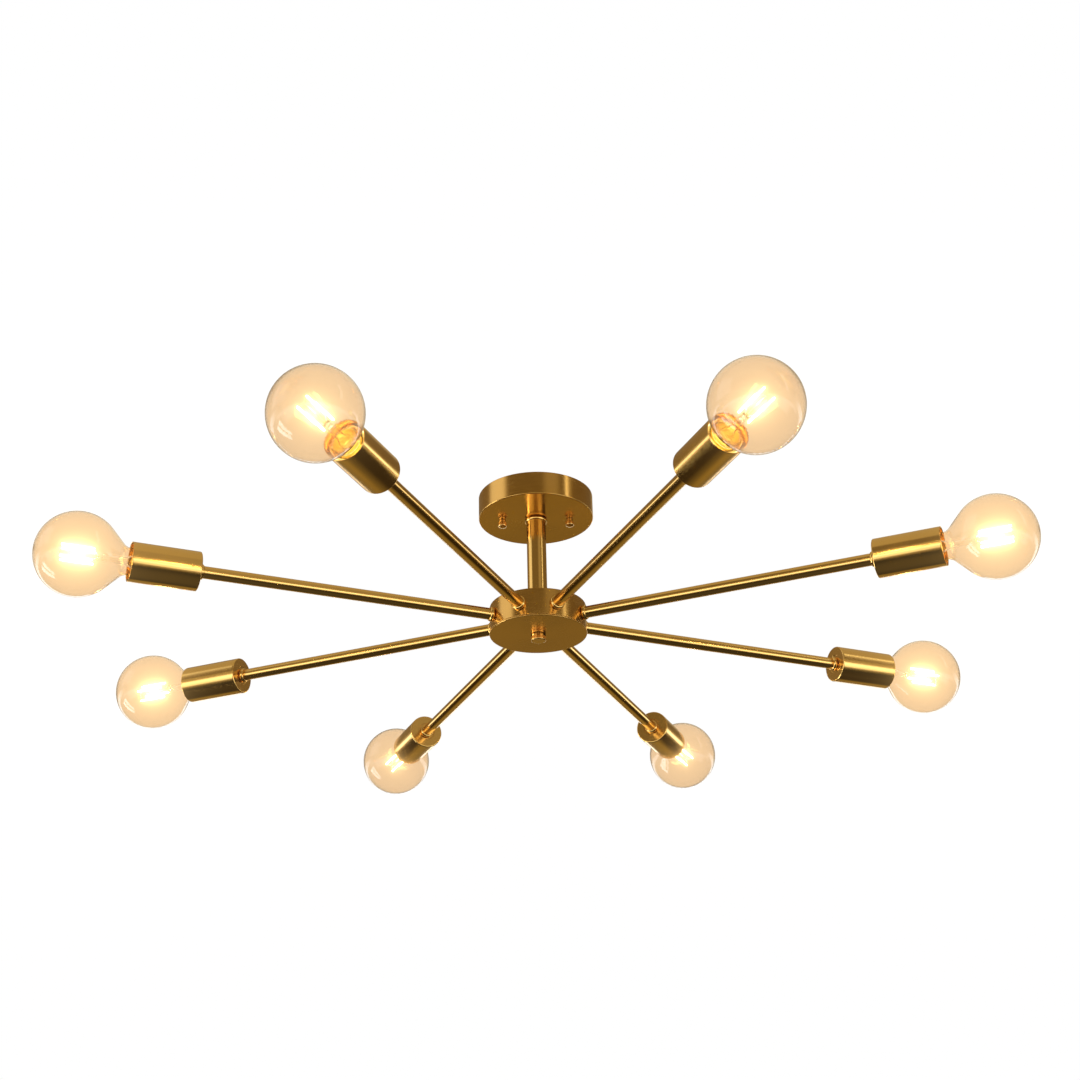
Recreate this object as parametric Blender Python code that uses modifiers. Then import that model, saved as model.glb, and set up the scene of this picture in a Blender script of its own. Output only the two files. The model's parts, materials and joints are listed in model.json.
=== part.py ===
"""Eight-arm semi-flush ceiling light with globe bulbs, as separate pieces.

Units are metres, +Z is up. The origin lies in the ceiling plane at the middle
of the mounting crossbar, and the light hangs below it. Along an arm, lengths
are measured from the light's vertical centre line outwards.
"""
import math

import bmesh
import bpy
from mathutils import Matrix, Vector

MM = 0.001

# Clearances
TOUCH_GAP = 0.3 * MM          # between pieces that rest against each other
THREAD_GAP = 0.3 * MM         # radial, between a thread and its hole

# Canopy and what fastens it to the ceiling
CANOPY_DIAMETER = 119 * MM
CANOPY_DEPTH = 25 * MM
SHEET_WALL = 1 * MM
CANOPY_EDGE = 0.8 * MM
CROSSBAR_WIDTH = 20 * MM
CROSSBAR_THICKNESS = 2.5 * MM
CROSSBAR_END_GAP = 7.5 * MM   # from its ends to the canopy's inner side
STUD_SPACING = 70 * MM
STUD_DIAMETER = 4 * MM
BOX_SCREW_SPACING = 88.9 * MM
BOX_SCREW_DIAMETER = 4.8 * MM
CANOPY_NUT_DIAMETER = 9 * MM
CANOPY_NUT_LENGTH = 8.5 * MM
NUT_COLLAR_DIAMETER = 6.3 * MM
NUT_COLLAR_LENGTH = 2.5 * MM
NUT_SHOULDER = 0.5 * MM
NUT_DOME_HEIGHT = 2 * MM
STUD_TIP_CLEARANCE = 1 * MM

# Stem and its hollow threaded nipples
STEM_DIAMETER = 20 * MM
STEM_LENGTH = 100 * MM
STEM_BORE = 16 * MM
STEM_PLUG_DEPTH = 10 * MM
STEM_BEAD_DIAMETER = 23 * MM
STEM_BEAD_LENGTH = 4 * MM
BEAD_ROUND = 1 * MM           # at the edges of every bead
NIPPLE_DIAMETER = 10 * MM
NIPPLE_BORE = 7 * MM
NIPPLE_GRIP = 9 * MM
NIPPLE_END = 2.5 * MM
NIPPLE_WINDOW_HEIGHT = 9 * MM
LOCKNUT_ACROSS_FLATS = 14 * MM
LOCKNUT_THICKNESS = 3.2 * MM
LOCKNUT_CORNER_RADIUS = LOCKNUT_ACROSS_FLATS / 2 / math.cos(math.pi / 6)

# Hub
HUB_DIAMETER = 98 * MM
HUB_HEIGHT = 30 * MM
HUB_WALL = 5.5 * MM
HUB_TOP = 2 * MM
COVER_OVERHANG = 0.5 * MM     # of the cover beyond the drum's side
COVER_THICKNESS = 1.5 * MM
EDGE_RADIUS = 0.6 * MM
FINIAL_DIAMETER = 15 * MM
FINIAL_LENGTH = 7 * MM
FINIAL_GRIP = 5.5 * MM

# Arms
ARM_COUNT = 8
FIRST_ARM_ANGLE = math.radians(22.5)
ARM_LENGTH = 298 * MM         # from the hub's side to the cup's back
ARM_DIAMETER = 12 * MM
ARM_BORE = 8 * MM
SPIGOT_DIAMETER = 9.6 * MM
SPIGOT_LENGTH = 12 * MM       # into the lampholder
BEAD_DIAMETER = 15 * MM
BEAD_LENGTH = 4 * MM

# Bulb
GLOBE_DIAMETER = 80 * MM
GLASS_WALL = 0.9 * MM
NECK_STRAIGHT = 7.4 * MM
NECK_FILLET = 10 * MM
CAP_DIAMETER = 26 * MM
CAP_LENGTH = 22 * MM
CONTACT_DIAMETER = 9 * MM
CONTACT_LENGTH = 4.7 * MM
CONTACT_BUTTON = 1.2 * MM     # straight part of the contact at its tip
STEM_GLASS_RADIUS = 4 * MM
FILAMENT_LENGTH = 34 * MM
FILAMENT_CIRCLE = 8 * MM
FILAMENT_THICKNESS = 2 * MM
FILAMENT_COUNT = 4
STEM_PLATE = 2 * MM           # disc that carries the filaments

# Lampholder and cup round it
HOLDER_WALL = 3 * MM
HOLDER_BORE_GAP = 0.6 * MM    # radial, round the bulb's screw cap
HOLDER_FLOOR = 6 * MM
SOCKET_DEPTH = 22.7 * MM
HOLDER_SETBACK = 7.5 * MM     # from the cup's mouth to the holder's rim
CUP_AIR_GAP = 1.4 * MM
CUP_WALL = 1 * MM
CUP_LENGTH = 65 * MM
CUP_BACK_EDGE = 1.2 * MM

# Wiring
WIRE_DIAMETER = 2 * MM
WIRE_OFFSET = 1.8 * MM        # either side of a bore's centre line
WIRE_RING_RADIUS = 20 * MM
BUNDLE_DIAMETER = 2.8 * MM    # the ring of gathered wires in the hub
WIRE_PAST_SPIGOT = 4 * MM
CONNECTOR_DIAMETER = 9 * MM
CONNECTOR_LENGTH = 17 * MM
CONNECTOR_START = 12 * MM
CONNECTOR_WIRE_DEPTH = 8 * MM
CONNECTOR_SKIRT = 5 * MM      # straight part at the open end
CONNECTOR_TIP_DIAMETER = 5 * MM
CONNECTOR_NECK_DIAMETER = 6.3 * MM
CONNECTOR_TIP_EDGE = 1.5 * MM
LEAD_BEND = 3.2 * MM
LEAD_RISE = 3 * MM            # of the leads above the nipple they come out of
LEAD_OVERLAP = 0.4 * MM       # of the earth lead into its terminals
TERMINAL_THICKNESS = 0.8 * MM
GROUND_SCREW_PLACE = (-18 * MM, 5.5 * MM)
GROUND_SCREW_DIAMETER = 4 * MM
GROUND_HEAD_DIAMETER = 8 * MM
GROUND_HEAD_HEIGHT = 2.3 * MM
EYE_MARGIN = 1.2 * MM         # of a ring terminal beyond what clamps it

# Facets of turned pieces
FINE = 40
MEDIUM = 20
HOLDER_FACETS = 16
BULB_FACETS = 14
SMALL = 12
DOME_STEPS = 2
OUTER_GLASS_STEPS = (6, 2)    # on the globe and round into the neck
INNER_GLASS_STEPS = (4, 1)
DRILL = 3                     # length of a drill, in walls that it goes through

# Heights, from the ceiling plane down
CANOPY_UNDERSIDE = -CANOPY_DEPTH
CANOPY_FLOOR = CANOPY_UNDERSIDE + SHEET_WALL
STEM_TOP = CANOPY_UNDERSIDE - TOUCH_GAP
HUB_TOP_FACE = CANOPY_UNDERSIDE - STEM_LENGTH
STEM_BOTTOM = HUB_TOP_FACE + TOUCH_GAP
HUB_UNDERSIDE = HUB_TOP_FACE - HUB_HEIGHT
ARM_HEIGHT = HUB_TOP_FACE - HUB_HEIGHT / 2
COVER_TOP = HUB_UNDERSIDE + COVER_THICKNESS
SHELL_BOTTOM = COVER_TOP + TOUCH_GAP
FINIAL_TOP = HUB_UNDERSIDE - TOUCH_GAP

# Distances along an arm
HUB_RADIUS = HUB_DIAMETER / 2
ARM_START = HUB_RADIUS + TOUCH_GAP
CUP_BACK = HUB_RADIUS + ARM_LENGTH
ARM_END = CUP_BACK - TOUCH_GAP
CUP_MOUTH = CUP_BACK + CUP_LENGTH
HOLDER_RIM = CUP_MOUTH - HOLDER_SETBACK
HOLDER_SEAT = HOLDER_RIM - SOCKET_DEPTH
HOLDER_BACK = CUP_BACK + CUP_WALL + TOUCH_GAP
CONTACT_TIP = HOLDER_SEAT + TOUCH_GAP
CAP_TOP = CONTACT_TIP + CONTACT_LENGTH + CAP_LENGTH
CAP_RADIUS = CAP_DIAMETER / 2
GLOBE_RADIUS = GLOBE_DIAMETER / 2
NECK_REACH = GLOBE_RADIUS * math.sqrt(2) - CAP_RADIUS + NECK_STRAIGHT
GLOBE_CENTRE = CAP_TOP + TOUCH_GAP + NECK_REACH

# Lengths and radii that follow from what goes inside
CROSSBAR_LENGTH = CANOPY_DIAMETER - 2 * (SHEET_WALL + CROSSBAR_END_GAP)
HOLDER_BORE_RADIUS = CAP_RADIUS + HOLDER_BORE_GAP
HOLDER_RADIUS = HOLDER_BORE_RADIUS + HOLDER_WALL
CUP_INNER_RADIUS = HOLDER_RADIUS + CUP_AIR_GAP
CUP_RADIUS = CUP_INNER_RADIUS + CUP_WALL
NIPPLE_HOLE_RADIUS = NIPPLE_DIAMETER / 2 + THREAD_GAP
SPIGOT_HOLE_RADIUS = SPIGOT_DIAMETER / 2 + THREAD_GAP
STUD_HOLE_RADIUS = STUD_DIAMETER / 2 + THREAD_GAP

BRASS = (0.60, 0.36, 0.10)
DARK_BRASS = (0.42, 0.26, 0.09)
PALE_BRASS = (0.78, 0.58, 0.25)
STEEL = (0.56, 0.57, 0.58)
GLASS = (0.95, 0.84, 0.68)


def new_collection(name):
    """Make a collection in the scene."""
    collection = bpy.data.collections.new(name)
    bpy.context.scene.collection.children.link(collection)
    return collection


def new_material(name, colour, roughness, metallic=0.0, transmission=0.0):
    """Make a Principled BSDF material of one colour."""
    material = bpy.data.materials.new(name)
    material.use_nodes = True
    shader = material.node_tree.nodes["Principled BSDF"]
    shader.inputs["Base Color"].default_value = (*colour, 1.0)
    shader.inputs["Roughness"].default_value = roughness
    shader.inputs["Metallic"].default_value = metallic
    shader.inputs["Transmission Weight"].default_value = transmission
    return material


def shade(mesh):
    """Shade a mesh smooth, with its edges over 35 degrees kept sharp."""
    mesh.shade_smooth()
    mesh.set_sharp_from_angle(angle=math.radians(35))


def evaluated_mesh(obj, name):
    """Return an object's mesh as its modifiers or its curve leave it."""
    depsgraph = bpy.context.evaluated_depsgraph_get()
    mesh = bpy.data.meshes.new_from_object(obj.evaluated_get(depsgraph))
    mesh.name = name
    return mesh


def turned_mesh(name, profile, segments):
    """Turn a profile of (radius, height) points about Z.

    The points run down the outer side, from top to bottom. A profile that
    starts on the axis and ends on it stays open there; any other is closed.
    """
    open_profile = profile[0][0] == 0.0 and profile[-1][0] == 0.0
    count = len(profile)
    edges = [(i, i + 1) for i in range(count - 1)]
    if not open_profile:
        edges.append((count - 1, 0))
    outline = bpy.data.meshes.new(name + "_outline")
    outline.from_pydata([(r, 0.0, z) for r, z in profile], edges, [])
    guide = bpy.data.objects.new(name + "_outline", outline)
    bpy.context.scene.collection.objects.link(guide)
    screw = guide.modifiers.new("Turn", "SCREW")
    screw.steps = segments
    screw.render_steps = segments
    screw.use_merge_vertices = True
    screw.merge_threshold = 0.00001
    mesh = evaluated_mesh(guide, name)
    bpy.data.objects.remove(guide)
    bpy.data.meshes.remove(outline)
    shade(mesh)
    return mesh


def tube_mesh(name, points, radius):
    """Make a round tube with closed ends along a list of points."""
    curve = bpy.data.curves.new(name, "CURVE")
    curve.dimensions = "3D"
    curve.bevel_depth = radius
    curve.bevel_resolution = 2
    curve.use_fill_caps = True
    spline = curve.splines.new("POLY")
    spline.points.add(len(points) - 1)
    for target, point in zip(spline.points, points):
        target.co = (*point, 1.0)
    guide = bpy.data.objects.new(name, curve)
    bpy.context.scene.collection.objects.link(guide)
    mesh = evaluated_mesh(guide, name)
    bpy.data.objects.remove(guide)
    bpy.data.curves.remove(curve)
    weld(mesh)
    return mesh


def weld(mesh):
    """Join the points of a mesh that lie on each other."""
    cage = bmesh.new()
    cage.from_mesh(mesh)
    bmesh.ops.remove_doubles(cage, verts=cage.verts, dist=0.000001)
    cage.to_mesh(mesh)
    cage.free()


def smooth_route(points, steps):
    """Return points along a Catmull-Rom curve through the given points."""
    anchors = [Vector(p) for p in points]
    anchors = [2 * anchors[0] - anchors[1]] + anchors + [2 * anchors[-1] - anchors[-2]]
    route = []
    for i in range(1, len(anchors) - 2):
        before, start, end, after = anchors[i - 1:i + 3]
        for step in range(steps):
            t = step / steps
            route.append(0.5 * (2 * start + (end - before) * t
                                + (2 * before - 5 * start + 4 * end - after) * t ** 2
                                + (3 * start - before - 3 * end + after) * t ** 3))
    route.append(anchors[-2])
    return route


def cylinder_mesh(name, radius, depth, sides, matrix):
    """Make a closed cylinder along the local Z of a matrix."""
    mesh = bpy.data.meshes.new(name)
    cage = bmesh.new()
    bmesh.ops.create_cone(cage, cap_ends=True, segments=sides, radius1=radius,
                          radius2=radius, depth=depth, matrix=matrix)
    cage.to_mesh(mesh)
    cage.free()
    return mesh


def box_mesh(name, size, centre):
    """Make a box from its three sides and its centre."""
    mesh = bpy.data.meshes.new(name)
    cage = bmesh.new()
    matrix = Matrix.Translation(centre) @ Matrix.Diagonal((*size, 1.0))
    bmesh.ops.create_cube(cage, size=1.0, matrix=matrix)
    cage.to_mesh(mesh)
    cage.free()
    return mesh


def place(name, mesh, material, parent=None, location=(0.0, 0.0, 0.0)):
    """Put a mesh in the light as a named piece of one material."""
    piece = bpy.data.objects.new(name, mesh)
    parts.objects.link(piece)
    if not mesh.materials:
        mesh.materials.append(material)
    piece.parent = parent
    piece.location = location
    return piece


def add_boolean(piece, mesh, operation):
    """Join a tool mesh to a piece or cut it from the piece."""
    tool = bpy.data.objects.new(mesh.name, mesh)
    cutters.objects.link(tool)
    tool.hide_render = True
    tool.display_type = "WIRE"
    modifier = piece.modifiers.new(mesh.name, "BOOLEAN")
    modifier.operation = operation
    modifier.solver = "EXACT"
    modifier.object = tool


def across(direction, distance, height=0.0):
    """Return a matrix whose Z points along a level direction from the centre line."""
    turn = Vector(direction).to_track_quat("Z", "Y").to_matrix().to_4x4()
    return Matrix.Translation(Vector(direction) * distance + Vector((0, 0, height))) @ turn


def bead(inner, outer, top, length):
    """Return the outline of a ring with rounded edges, from its top down."""
    edge = outer - BEAD_ROUND
    bottom = top - length
    return [(inner, top), (edge, top), (outer, top - BEAD_ROUND),
            (outer, bottom + BEAD_ROUND), (edge, bottom), (inner, bottom)]


def make_canopy():
    """Drawn cup against the ceiling, with holes for the nipple and studs."""
    outer = CANOPY_DIAMETER / 2
    inner = outer - SHEET_WALL
    profile = [(outer, 0.0), (outer, CANOPY_UNDERSIDE + CANOPY_EDGE),
               (outer - CANOPY_EDGE, CANOPY_UNDERSIDE),
               (NIPPLE_HOLE_RADIUS, CANOPY_UNDERSIDE),
               (NIPPLE_HOLE_RADIUS, CANOPY_FLOOR), (inner, CANOPY_FLOOR), (inner, 0.0)]
    canopy = place("canopy", turned_mesh("canopy", profile, FINE),
                   new_material("canopy_brass", BRASS, 0.32, 1.0))
    for side in (-1, 1):
        centre = (side * STUD_SPACING / 2, 0.0, CANOPY_UNDERSIDE + SHEET_WALL / 2)
        cutter = cylinder_mesh(f"stud_hole_{side}", STUD_HOLE_RADIUS, DRILL * SHEET_WALL, SMALL,
                               Matrix.Translation(centre))
        add_boolean(canopy, cutter, "DIFFERENCE")


def make_crossbar():
    """Strap that screws to the outlet box and carries the studs."""
    middle = -CROSSBAR_THICKNESS / 2
    strap = box_mesh("crossbar", (CROSSBAR_LENGTH, CROSSBAR_WIDTH, CROSSBAR_THICKNESS),
                     (0.0, 0.0, middle))
    crossbar = place("crossbar", strap, new_material("zinc_crossbar", STEEL, 0.4, 1.0))
    holes = [(side * STUD_SPACING / 2, 0.0, STUD_HOLE_RADIUS) for side in (-1, 1)]
    holes += [(side * BOX_SCREW_SPACING / 2, 0.0, BOX_SCREW_DIAMETER / 2) for side in (-1, 1)]
    holes.append((*GROUND_SCREW_PLACE, GROUND_SCREW_DIAMETER / 2 + THREAD_GAP))
    for number, (x, y, radius) in enumerate(holes, 1):
        cutter = cylinder_mesh(f"crossbar_hole_{number}", radius, DRILL * CROSSBAR_THICKNESS,
                               SMALL, Matrix.Translation((x, y, middle)))
        add_boolean(crossbar, cutter, "DIFFERENCE")


def make_studs_and_nuts():
    """Two threaded studs with the turned cap nuts that hold the canopy up."""
    nut_top = CANOPY_UNDERSIDE - TOUCH_GAP
    nut_bottom = nut_top - CANOPY_NUT_LENGTH
    bore_end = nut_bottom + 2 * STUD_TIP_CLEARANCE
    stud_tip = bore_end + STUD_TIP_CLEARANCE
    stud_top = -TOUCH_GAP
    radius = CANOPY_NUT_DIAMETER / 2
    stud = cylinder_mesh("mounting_stud", STUD_DIAMETER / 2, stud_top - stud_tip, SMALL,
                         Matrix.Translation((0.0, 0.0, (stud_top + stud_tip) / 2)))
    shade(stud)
    collar = NUT_COLLAR_DIAMETER / 2
    collar_end = nut_top - NUT_COLLAR_LENGTH
    profile = [(0.0, bore_end), (STUD_HOLE_RADIUS, bore_end), (STUD_HOLE_RADIUS, nut_top),
               (collar, nut_top), (collar, collar_end), (radius, collar_end - NUT_SHOULDER)]
    for i in range(DOME_STEPS):
        angle = math.pi / 2 * i / DOME_STEPS
        profile.append((radius * math.cos(angle),
                        nut_bottom + NUT_DOME_HEIGHT * (1 - math.sin(angle))))
    profile.append((0.0, nut_bottom))
    nut = turned_mesh("canopy_nut", profile, SMALL)
    stud_steel = new_material("stud_steel", STEEL, 0.35, 1.0)
    nut_brass = new_material("nut_brass", PALE_BRASS, 0.2, 1.0)
    for side, word in ((-1, "left"), (1, "right")):
        place(f"mounting_stud_{word}", stud, stud_steel, location=(side * STUD_SPACING / 2, 0, 0))
        place(f"canopy_nut_{word}", nut, nut_brass, location=(side * STUD_SPACING / 2, 0, 0))


def nipple_mesh(name, top, bottom):
    """Hollow threaded tube between two heights."""
    outer = NIPPLE_DIAMETER / 2
    inner = NIPPLE_BORE / 2
    profile = [(outer, top), (outer, bottom), (inner, bottom), (inner, top)]
    return turned_mesh(name, profile, SMALL)


def locknut_mesh(name, top):
    """Hexagonal nut with a clear round hole."""
    hole = NIPPLE_HOLE_RADIUS / math.cos(math.pi / 6)
    profile = [(LOCKNUT_CORNER_RADIUS, top), (LOCKNUT_CORNER_RADIUS, top - LOCKNUT_THICKNESS),
               (hole, top - LOCKNUT_THICKNESS), (hole, top)]
    return turned_mesh(name, profile, 6)


def make_stem():
    """Stem tube, with a bead at its top, and the nipple and nut above it."""
    outer = STEM_DIAMETER / 2
    bore = STEM_BORE / 2
    profile = bead(outer, STEM_BEAD_DIAMETER / 2, STEM_TOP, STEM_BEAD_LENGTH)
    profile += [(outer, STEM_BOTTOM), (NIPPLE_HOLE_RADIUS, STEM_BOTTOM),
                (NIPPLE_HOLE_RADIUS, STEM_BOTTOM + STEM_PLUG_DEPTH),
                (bore, STEM_BOTTOM + STEM_PLUG_DEPTH), (bore, STEM_TOP - STEM_PLUG_DEPTH),
                (NIPPLE_HOLE_RADIUS, STEM_TOP - STEM_PLUG_DEPTH),
                (NIPPLE_HOLE_RADIUS, STEM_TOP)]
    place("stem", turned_mesh("stem", profile, MEDIUM), new_material("stem_brass", BRASS, 0.25, 1.0))
    zinc = new_material("nipple_zinc", STEEL, 0.4, 1.0)
    nut_bottom = CANOPY_FLOOR + TERMINAL_THICKNESS + 2 * TOUCH_GAP
    nut_top = nut_bottom + LOCKNUT_THICKNESS
    place("canopy_nipple", nipple_mesh("canopy_nipple", nut_top + NIPPLE_END,
                                       STEM_TOP - NIPPLE_GRIP), zinc)
    place("canopy_locknut", locknut_mesh("canopy_locknut", nut_top),
          new_material("canopy_locknut_steel", STEEL, 0.35, 1.0))


def make_hub():
    """Drum that the arms screw into, and the long nipple down its middle."""
    inner = HUB_RADIUS - HUB_WALL
    ceiling = HUB_TOP_FACE - HUB_TOP
    profile = [(NIPPLE_HOLE_RADIUS, HUB_TOP_FACE), (HUB_RADIUS - EDGE_RADIUS, HUB_TOP_FACE),
               (HUB_RADIUS, HUB_TOP_FACE - EDGE_RADIUS), (HUB_RADIUS, SHELL_BOTTOM),
               (inner, SHELL_BOTTOM), (inner, ceiling), (NIPPLE_HOLE_RADIUS, ceiling)]
    hub = place("hub_shell", turned_mesh("hub_shell", profile, FINE),
                new_material("hub_brass", BRASS, 0.32, 1.0))
    for number in range(ARM_COUNT):
        angle = FIRST_ARM_ANGLE + number * math.tau / ARM_COUNT
        direction = (math.cos(angle), math.sin(angle), 0.0)
        cutter = cylinder_mesh(f"arm_hole_{number + 1}", SPIGOT_HOLE_RADIUS, DRILL * HUB_WALL, SMALL,
                               across(direction, HUB_RADIUS - HUB_WALL / 2, ARM_HEIGHT))
        add_boolean(hub, cutter, "DIFFERENCE")
    nipple = place("hub_nipple", nipple_mesh("hub_nipple", STEM_BOTTOM + NIPPLE_GRIP,
                                             FINIAL_TOP - FINIAL_GRIP + TOUCH_GAP),
                   new_material("hub_nipple_zinc", STEEL, 0.4, 1.0))
    window = box_mesh("nipple_window", (DRILL * NIPPLE_DIAMETER, NIPPLE_BORE, NIPPLE_WINDOW_HEIGHT),
                      (0.0, 0.0, ARM_HEIGHT))
    add_boolean(nipple, window, "DIFFERENCE")
    place("hub_locknut", locknut_mesh("hub_locknut", ceiling - TOUCH_GAP),
          new_material("hub_locknut_steel", STEEL, 0.35, 1.0))


def make_cover_and_finial():
    """Plate that closes the hub from below, and the finial that holds it up."""
    outer = HUB_RADIUS + COVER_OVERHANG
    profile = [(NIPPLE_HOLE_RADIUS, COVER_TOP), (outer - EDGE_RADIUS, COVER_TOP),
               (outer, COVER_TOP - EDGE_RADIUS), (outer, HUB_UNDERSIDE + EDGE_RADIUS),
               (outer - EDGE_RADIUS, HUB_UNDERSIDE), (NIPPLE_HOLE_RADIUS, HUB_UNDERSIDE)]
    place("hub_cover", turned_mesh("hub_cover", profile, FINE),
          new_material("cover_brass", DARK_BRASS, 0.3, 1.0))
    radius = FINIAL_DIAMETER / 2
    bottom = FINIAL_TOP - FINIAL_LENGTH
    profile = [(0.0, FINIAL_TOP - FINIAL_GRIP), (NIPPLE_HOLE_RADIUS, FINIAL_TOP - FINIAL_GRIP),
               (NIPPLE_HOLE_RADIUS, FINIAL_TOP), (radius - EDGE_RADIUS, FINIAL_TOP),
               (radius, FINIAL_TOP - EDGE_RADIUS), (radius, bottom + 2 * EDGE_RADIUS),
               (radius - 2 * EDGE_RADIUS, bottom), (0.0, bottom)]
    place("finial", turned_mesh("finial", profile, MEDIUM),
          new_material("finial_brass", PALE_BRASS, 0.2, 1.0))


def arm_profile():
    """Outline of an arm: a tube with a bead and a threaded spigot at each end."""
    tube = ARM_DIAMETER / 2
    spigot = SPIGOT_DIAMETER / 2
    bore = ARM_BORE / 2
    ring = BEAD_DIAMETER / 2
    outer_end = CUP_BACK + CUP_WALL + SPIGOT_LENGTH
    inner_end = HUB_RADIUS - HUB_WALL
    profile = [(bore, outer_end), (spigot, outer_end), (spigot, ARM_END)]
    profile += bead(tube, ring, ARM_END, BEAD_LENGTH)[1:]
    profile += bead(tube, ring, ARM_START + BEAD_LENGTH, BEAD_LENGTH)[:-1]
    profile += [(spigot, ARM_START), (spigot, inner_end), (bore, inner_end)]
    return profile


def cup_profile():
    """Outline of a socket cup, open outwards, with a hole in its flat back."""
    floor = CUP_BACK + CUP_WALL
    return [(CUP_INNER_RADIUS, CUP_MOUTH), (CUP_RADIUS, CUP_MOUTH),
            (CUP_RADIUS, CUP_BACK + CUP_BACK_EDGE), (CUP_RADIUS - CUP_BACK_EDGE, CUP_BACK),
            (SPIGOT_HOLE_RADIUS, CUP_BACK), (SPIGOT_HOLE_RADIUS, floor),
            (CUP_INNER_RADIUS, floor)]


def holder_profile():
    """Outline of a lampholder: a socket outwards, a threaded bore behind it."""
    throat = SPIGOT_HOLE_RADIUS / 2
    bore_end = HOLDER_SEAT - HOLDER_FLOOR
    return [(HOLDER_BORE_RADIUS, HOLDER_RIM), (HOLDER_RADIUS, HOLDER_RIM),
            (HOLDER_RADIUS, HOLDER_BACK), (SPIGOT_HOLE_RADIUS, HOLDER_BACK),
            (SPIGOT_HOLE_RADIUS, bore_end), (throat, bore_end), (throat, HOLDER_SEAT),
            (HOLDER_BORE_RADIUS, HOLDER_SEAT)]


def neck_outline(globe, neck, corner, fillet, globe_steps, arc_steps):
    """Points from the top of a globe down its side and round into its neck.

    The side leaves the sphere 135 degrees from its top, and an arc joins it to
    the neck.
    """
    quarter = math.pi / 4
    points = [(0.0, globe)]
    for i in range(1, globe_steps + 1):
        angle = 3 * quarter * i / globe_steps
        points.append((globe * math.sin(angle), globe * math.cos(angle)))
    reach = fillet * math.tan(quarter / 2)
    for i in range(arc_steps + 1):
        turn = quarter * (1 - i / arc_steps)
        points.append((neck + fillet * (1 - math.cos(turn)),
                       corner - reach + fillet * math.sin(turn)))
    return points


def glass_profile():
    """Outline of the bulb's glass shell, with its globe centred on zero."""
    corner = -(NECK_REACH - NECK_STRAIGHT)
    outer = neck_outline(GLOBE_RADIUS, CAP_RADIUS, corner, NECK_FILLET, *OUTER_GLASS_STEPS)
    inner_globe = GLOBE_RADIUS - GLASS_WALL
    inner_neck = CAP_RADIUS - GLASS_WALL
    corner = -(inner_globe * math.sqrt(2) - inner_neck)
    inner = neck_outline(inner_globe, inner_neck, corner, NECK_FILLET + GLASS_WALL,
                         *INNER_GLASS_STEPS)
    ends = [(CAP_RADIUS, -NECK_REACH), (inner_neck, -NECK_REACH)]
    return outer + ends + inner[::-1]


def core_profile():
    """Outline of the bulb's screw cap and glass stem, globe centred on zero."""
    cap_top = -NECK_REACH - TOUCH_GAP
    cap_bottom = cap_top - CAP_LENGTH
    tip = cap_bottom - CONTACT_LENGTH
    contact = CONTACT_DIAMETER / 2
    foot = -FILAMENT_LENGTH / 2
    plate = FILAMENT_CIRCLE + FILAMENT_THICKNESS / 2
    return [(0.0, foot), (plate, foot), (plate, foot - STEM_PLATE),
            (STEM_GLASS_RADIUS, foot - 2 * STEM_PLATE), (STEM_GLASS_RADIUS, cap_top),
            (CAP_RADIUS, cap_top), (CAP_RADIUS, cap_bottom), (contact, tip + CONTACT_BUTTON),
            (contact, tip), (0.0, tip)]


def core_mesh():
    """Screw cap, glass stem and upright filaments, as one body."""
    guide = bpy.data.objects.new("bulb_core", turned_mesh("bulb_core", core_profile(), SMALL))
    bpy.context.scene.collection.objects.link(guide)
    for number in range(FILAMENT_COUNT):
        angle = number * math.tau / FILAMENT_COUNT
        centre = (FILAMENT_CIRCLE * math.cos(angle), FILAMENT_CIRCLE * math.sin(angle),
                  -FILAMENT_THICKNESS / 4)
        stick = cylinder_mesh(f"filament_{number + 1}", FILAMENT_THICKNESS / 2,
                              FILAMENT_LENGTH + FILAMENT_THICKNESS / 2, 6,
                              Matrix.Translation(centre))
        add_boolean(guide, stick, "UNION")
    bpy.context.view_layer.update()
    mesh = evaluated_mesh(guide, "bulb_core")
    bpy.data.objects.remove(guide)
    shade(mesh)
    return mesh


def make_arms():
    """Every arm with its cup, lampholder and bulb."""
    arm = turned_mesh("arm", arm_profile(), SMALL)
    cup = turned_mesh("socket_cup", cup_profile(), MEDIUM)
    holder = turned_mesh("lampholder", holder_profile(), HOLDER_FACETS)
    glass = turned_mesh("bulb_glass", glass_profile(), BULB_FACETS)
    core = core_mesh()
    arm_brass = new_material("arm_brass", BRASS, 0.22, 1.0)
    cup_brass = new_material("cup_brass", BRASS, 0.22, 1.0)
    porcelain = new_material("holder_porcelain", (0.85, 0.82, 0.74), 0.4)
    clear_glass = new_material("amber_glass", GLASS, 0.03, 0.0, 1.0)
    cap_brass = new_material("cap_brass", PALE_BRASS, 0.3, 1.0)
    for number in range(ARM_COUNT):
        label = number + 1
        axis = bpy.data.objects.new(f"arm_axis_{label}", None)
        parts.objects.link(axis)
        axis.location = (0.0, 0.0, ARM_HEIGHT)
        axis.rotation_euler = (0.0, math.pi / 2, FIRST_ARM_ANGLE + number * math.tau / ARM_COUNT)
        place(f"arm_{label}", arm, arm_brass, axis)
        place(f"socket_cup_{label}", cup, cup_brass, axis)
        place(f"lampholder_{label}", holder, porcelain, axis)
        place(f"bulb_glass_{label}", glass, clear_glass, axis, (0.0, 0.0, GLOBE_CENTRE))
        place(f"bulb_core_{label}", core, cap_brass, axis, (0.0, 0.0, GLOBE_CENTRE))


def connector_height():
    """Height at which the wires leave the top nipple for their connectors."""
    nut_top = CANOPY_FLOOR + TERMINAL_THICKNESS + 2 * TOUCH_GAP + LOCKNUT_THICKNESS
    return nut_top + NIPPLE_END + LEAD_RISE


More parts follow.
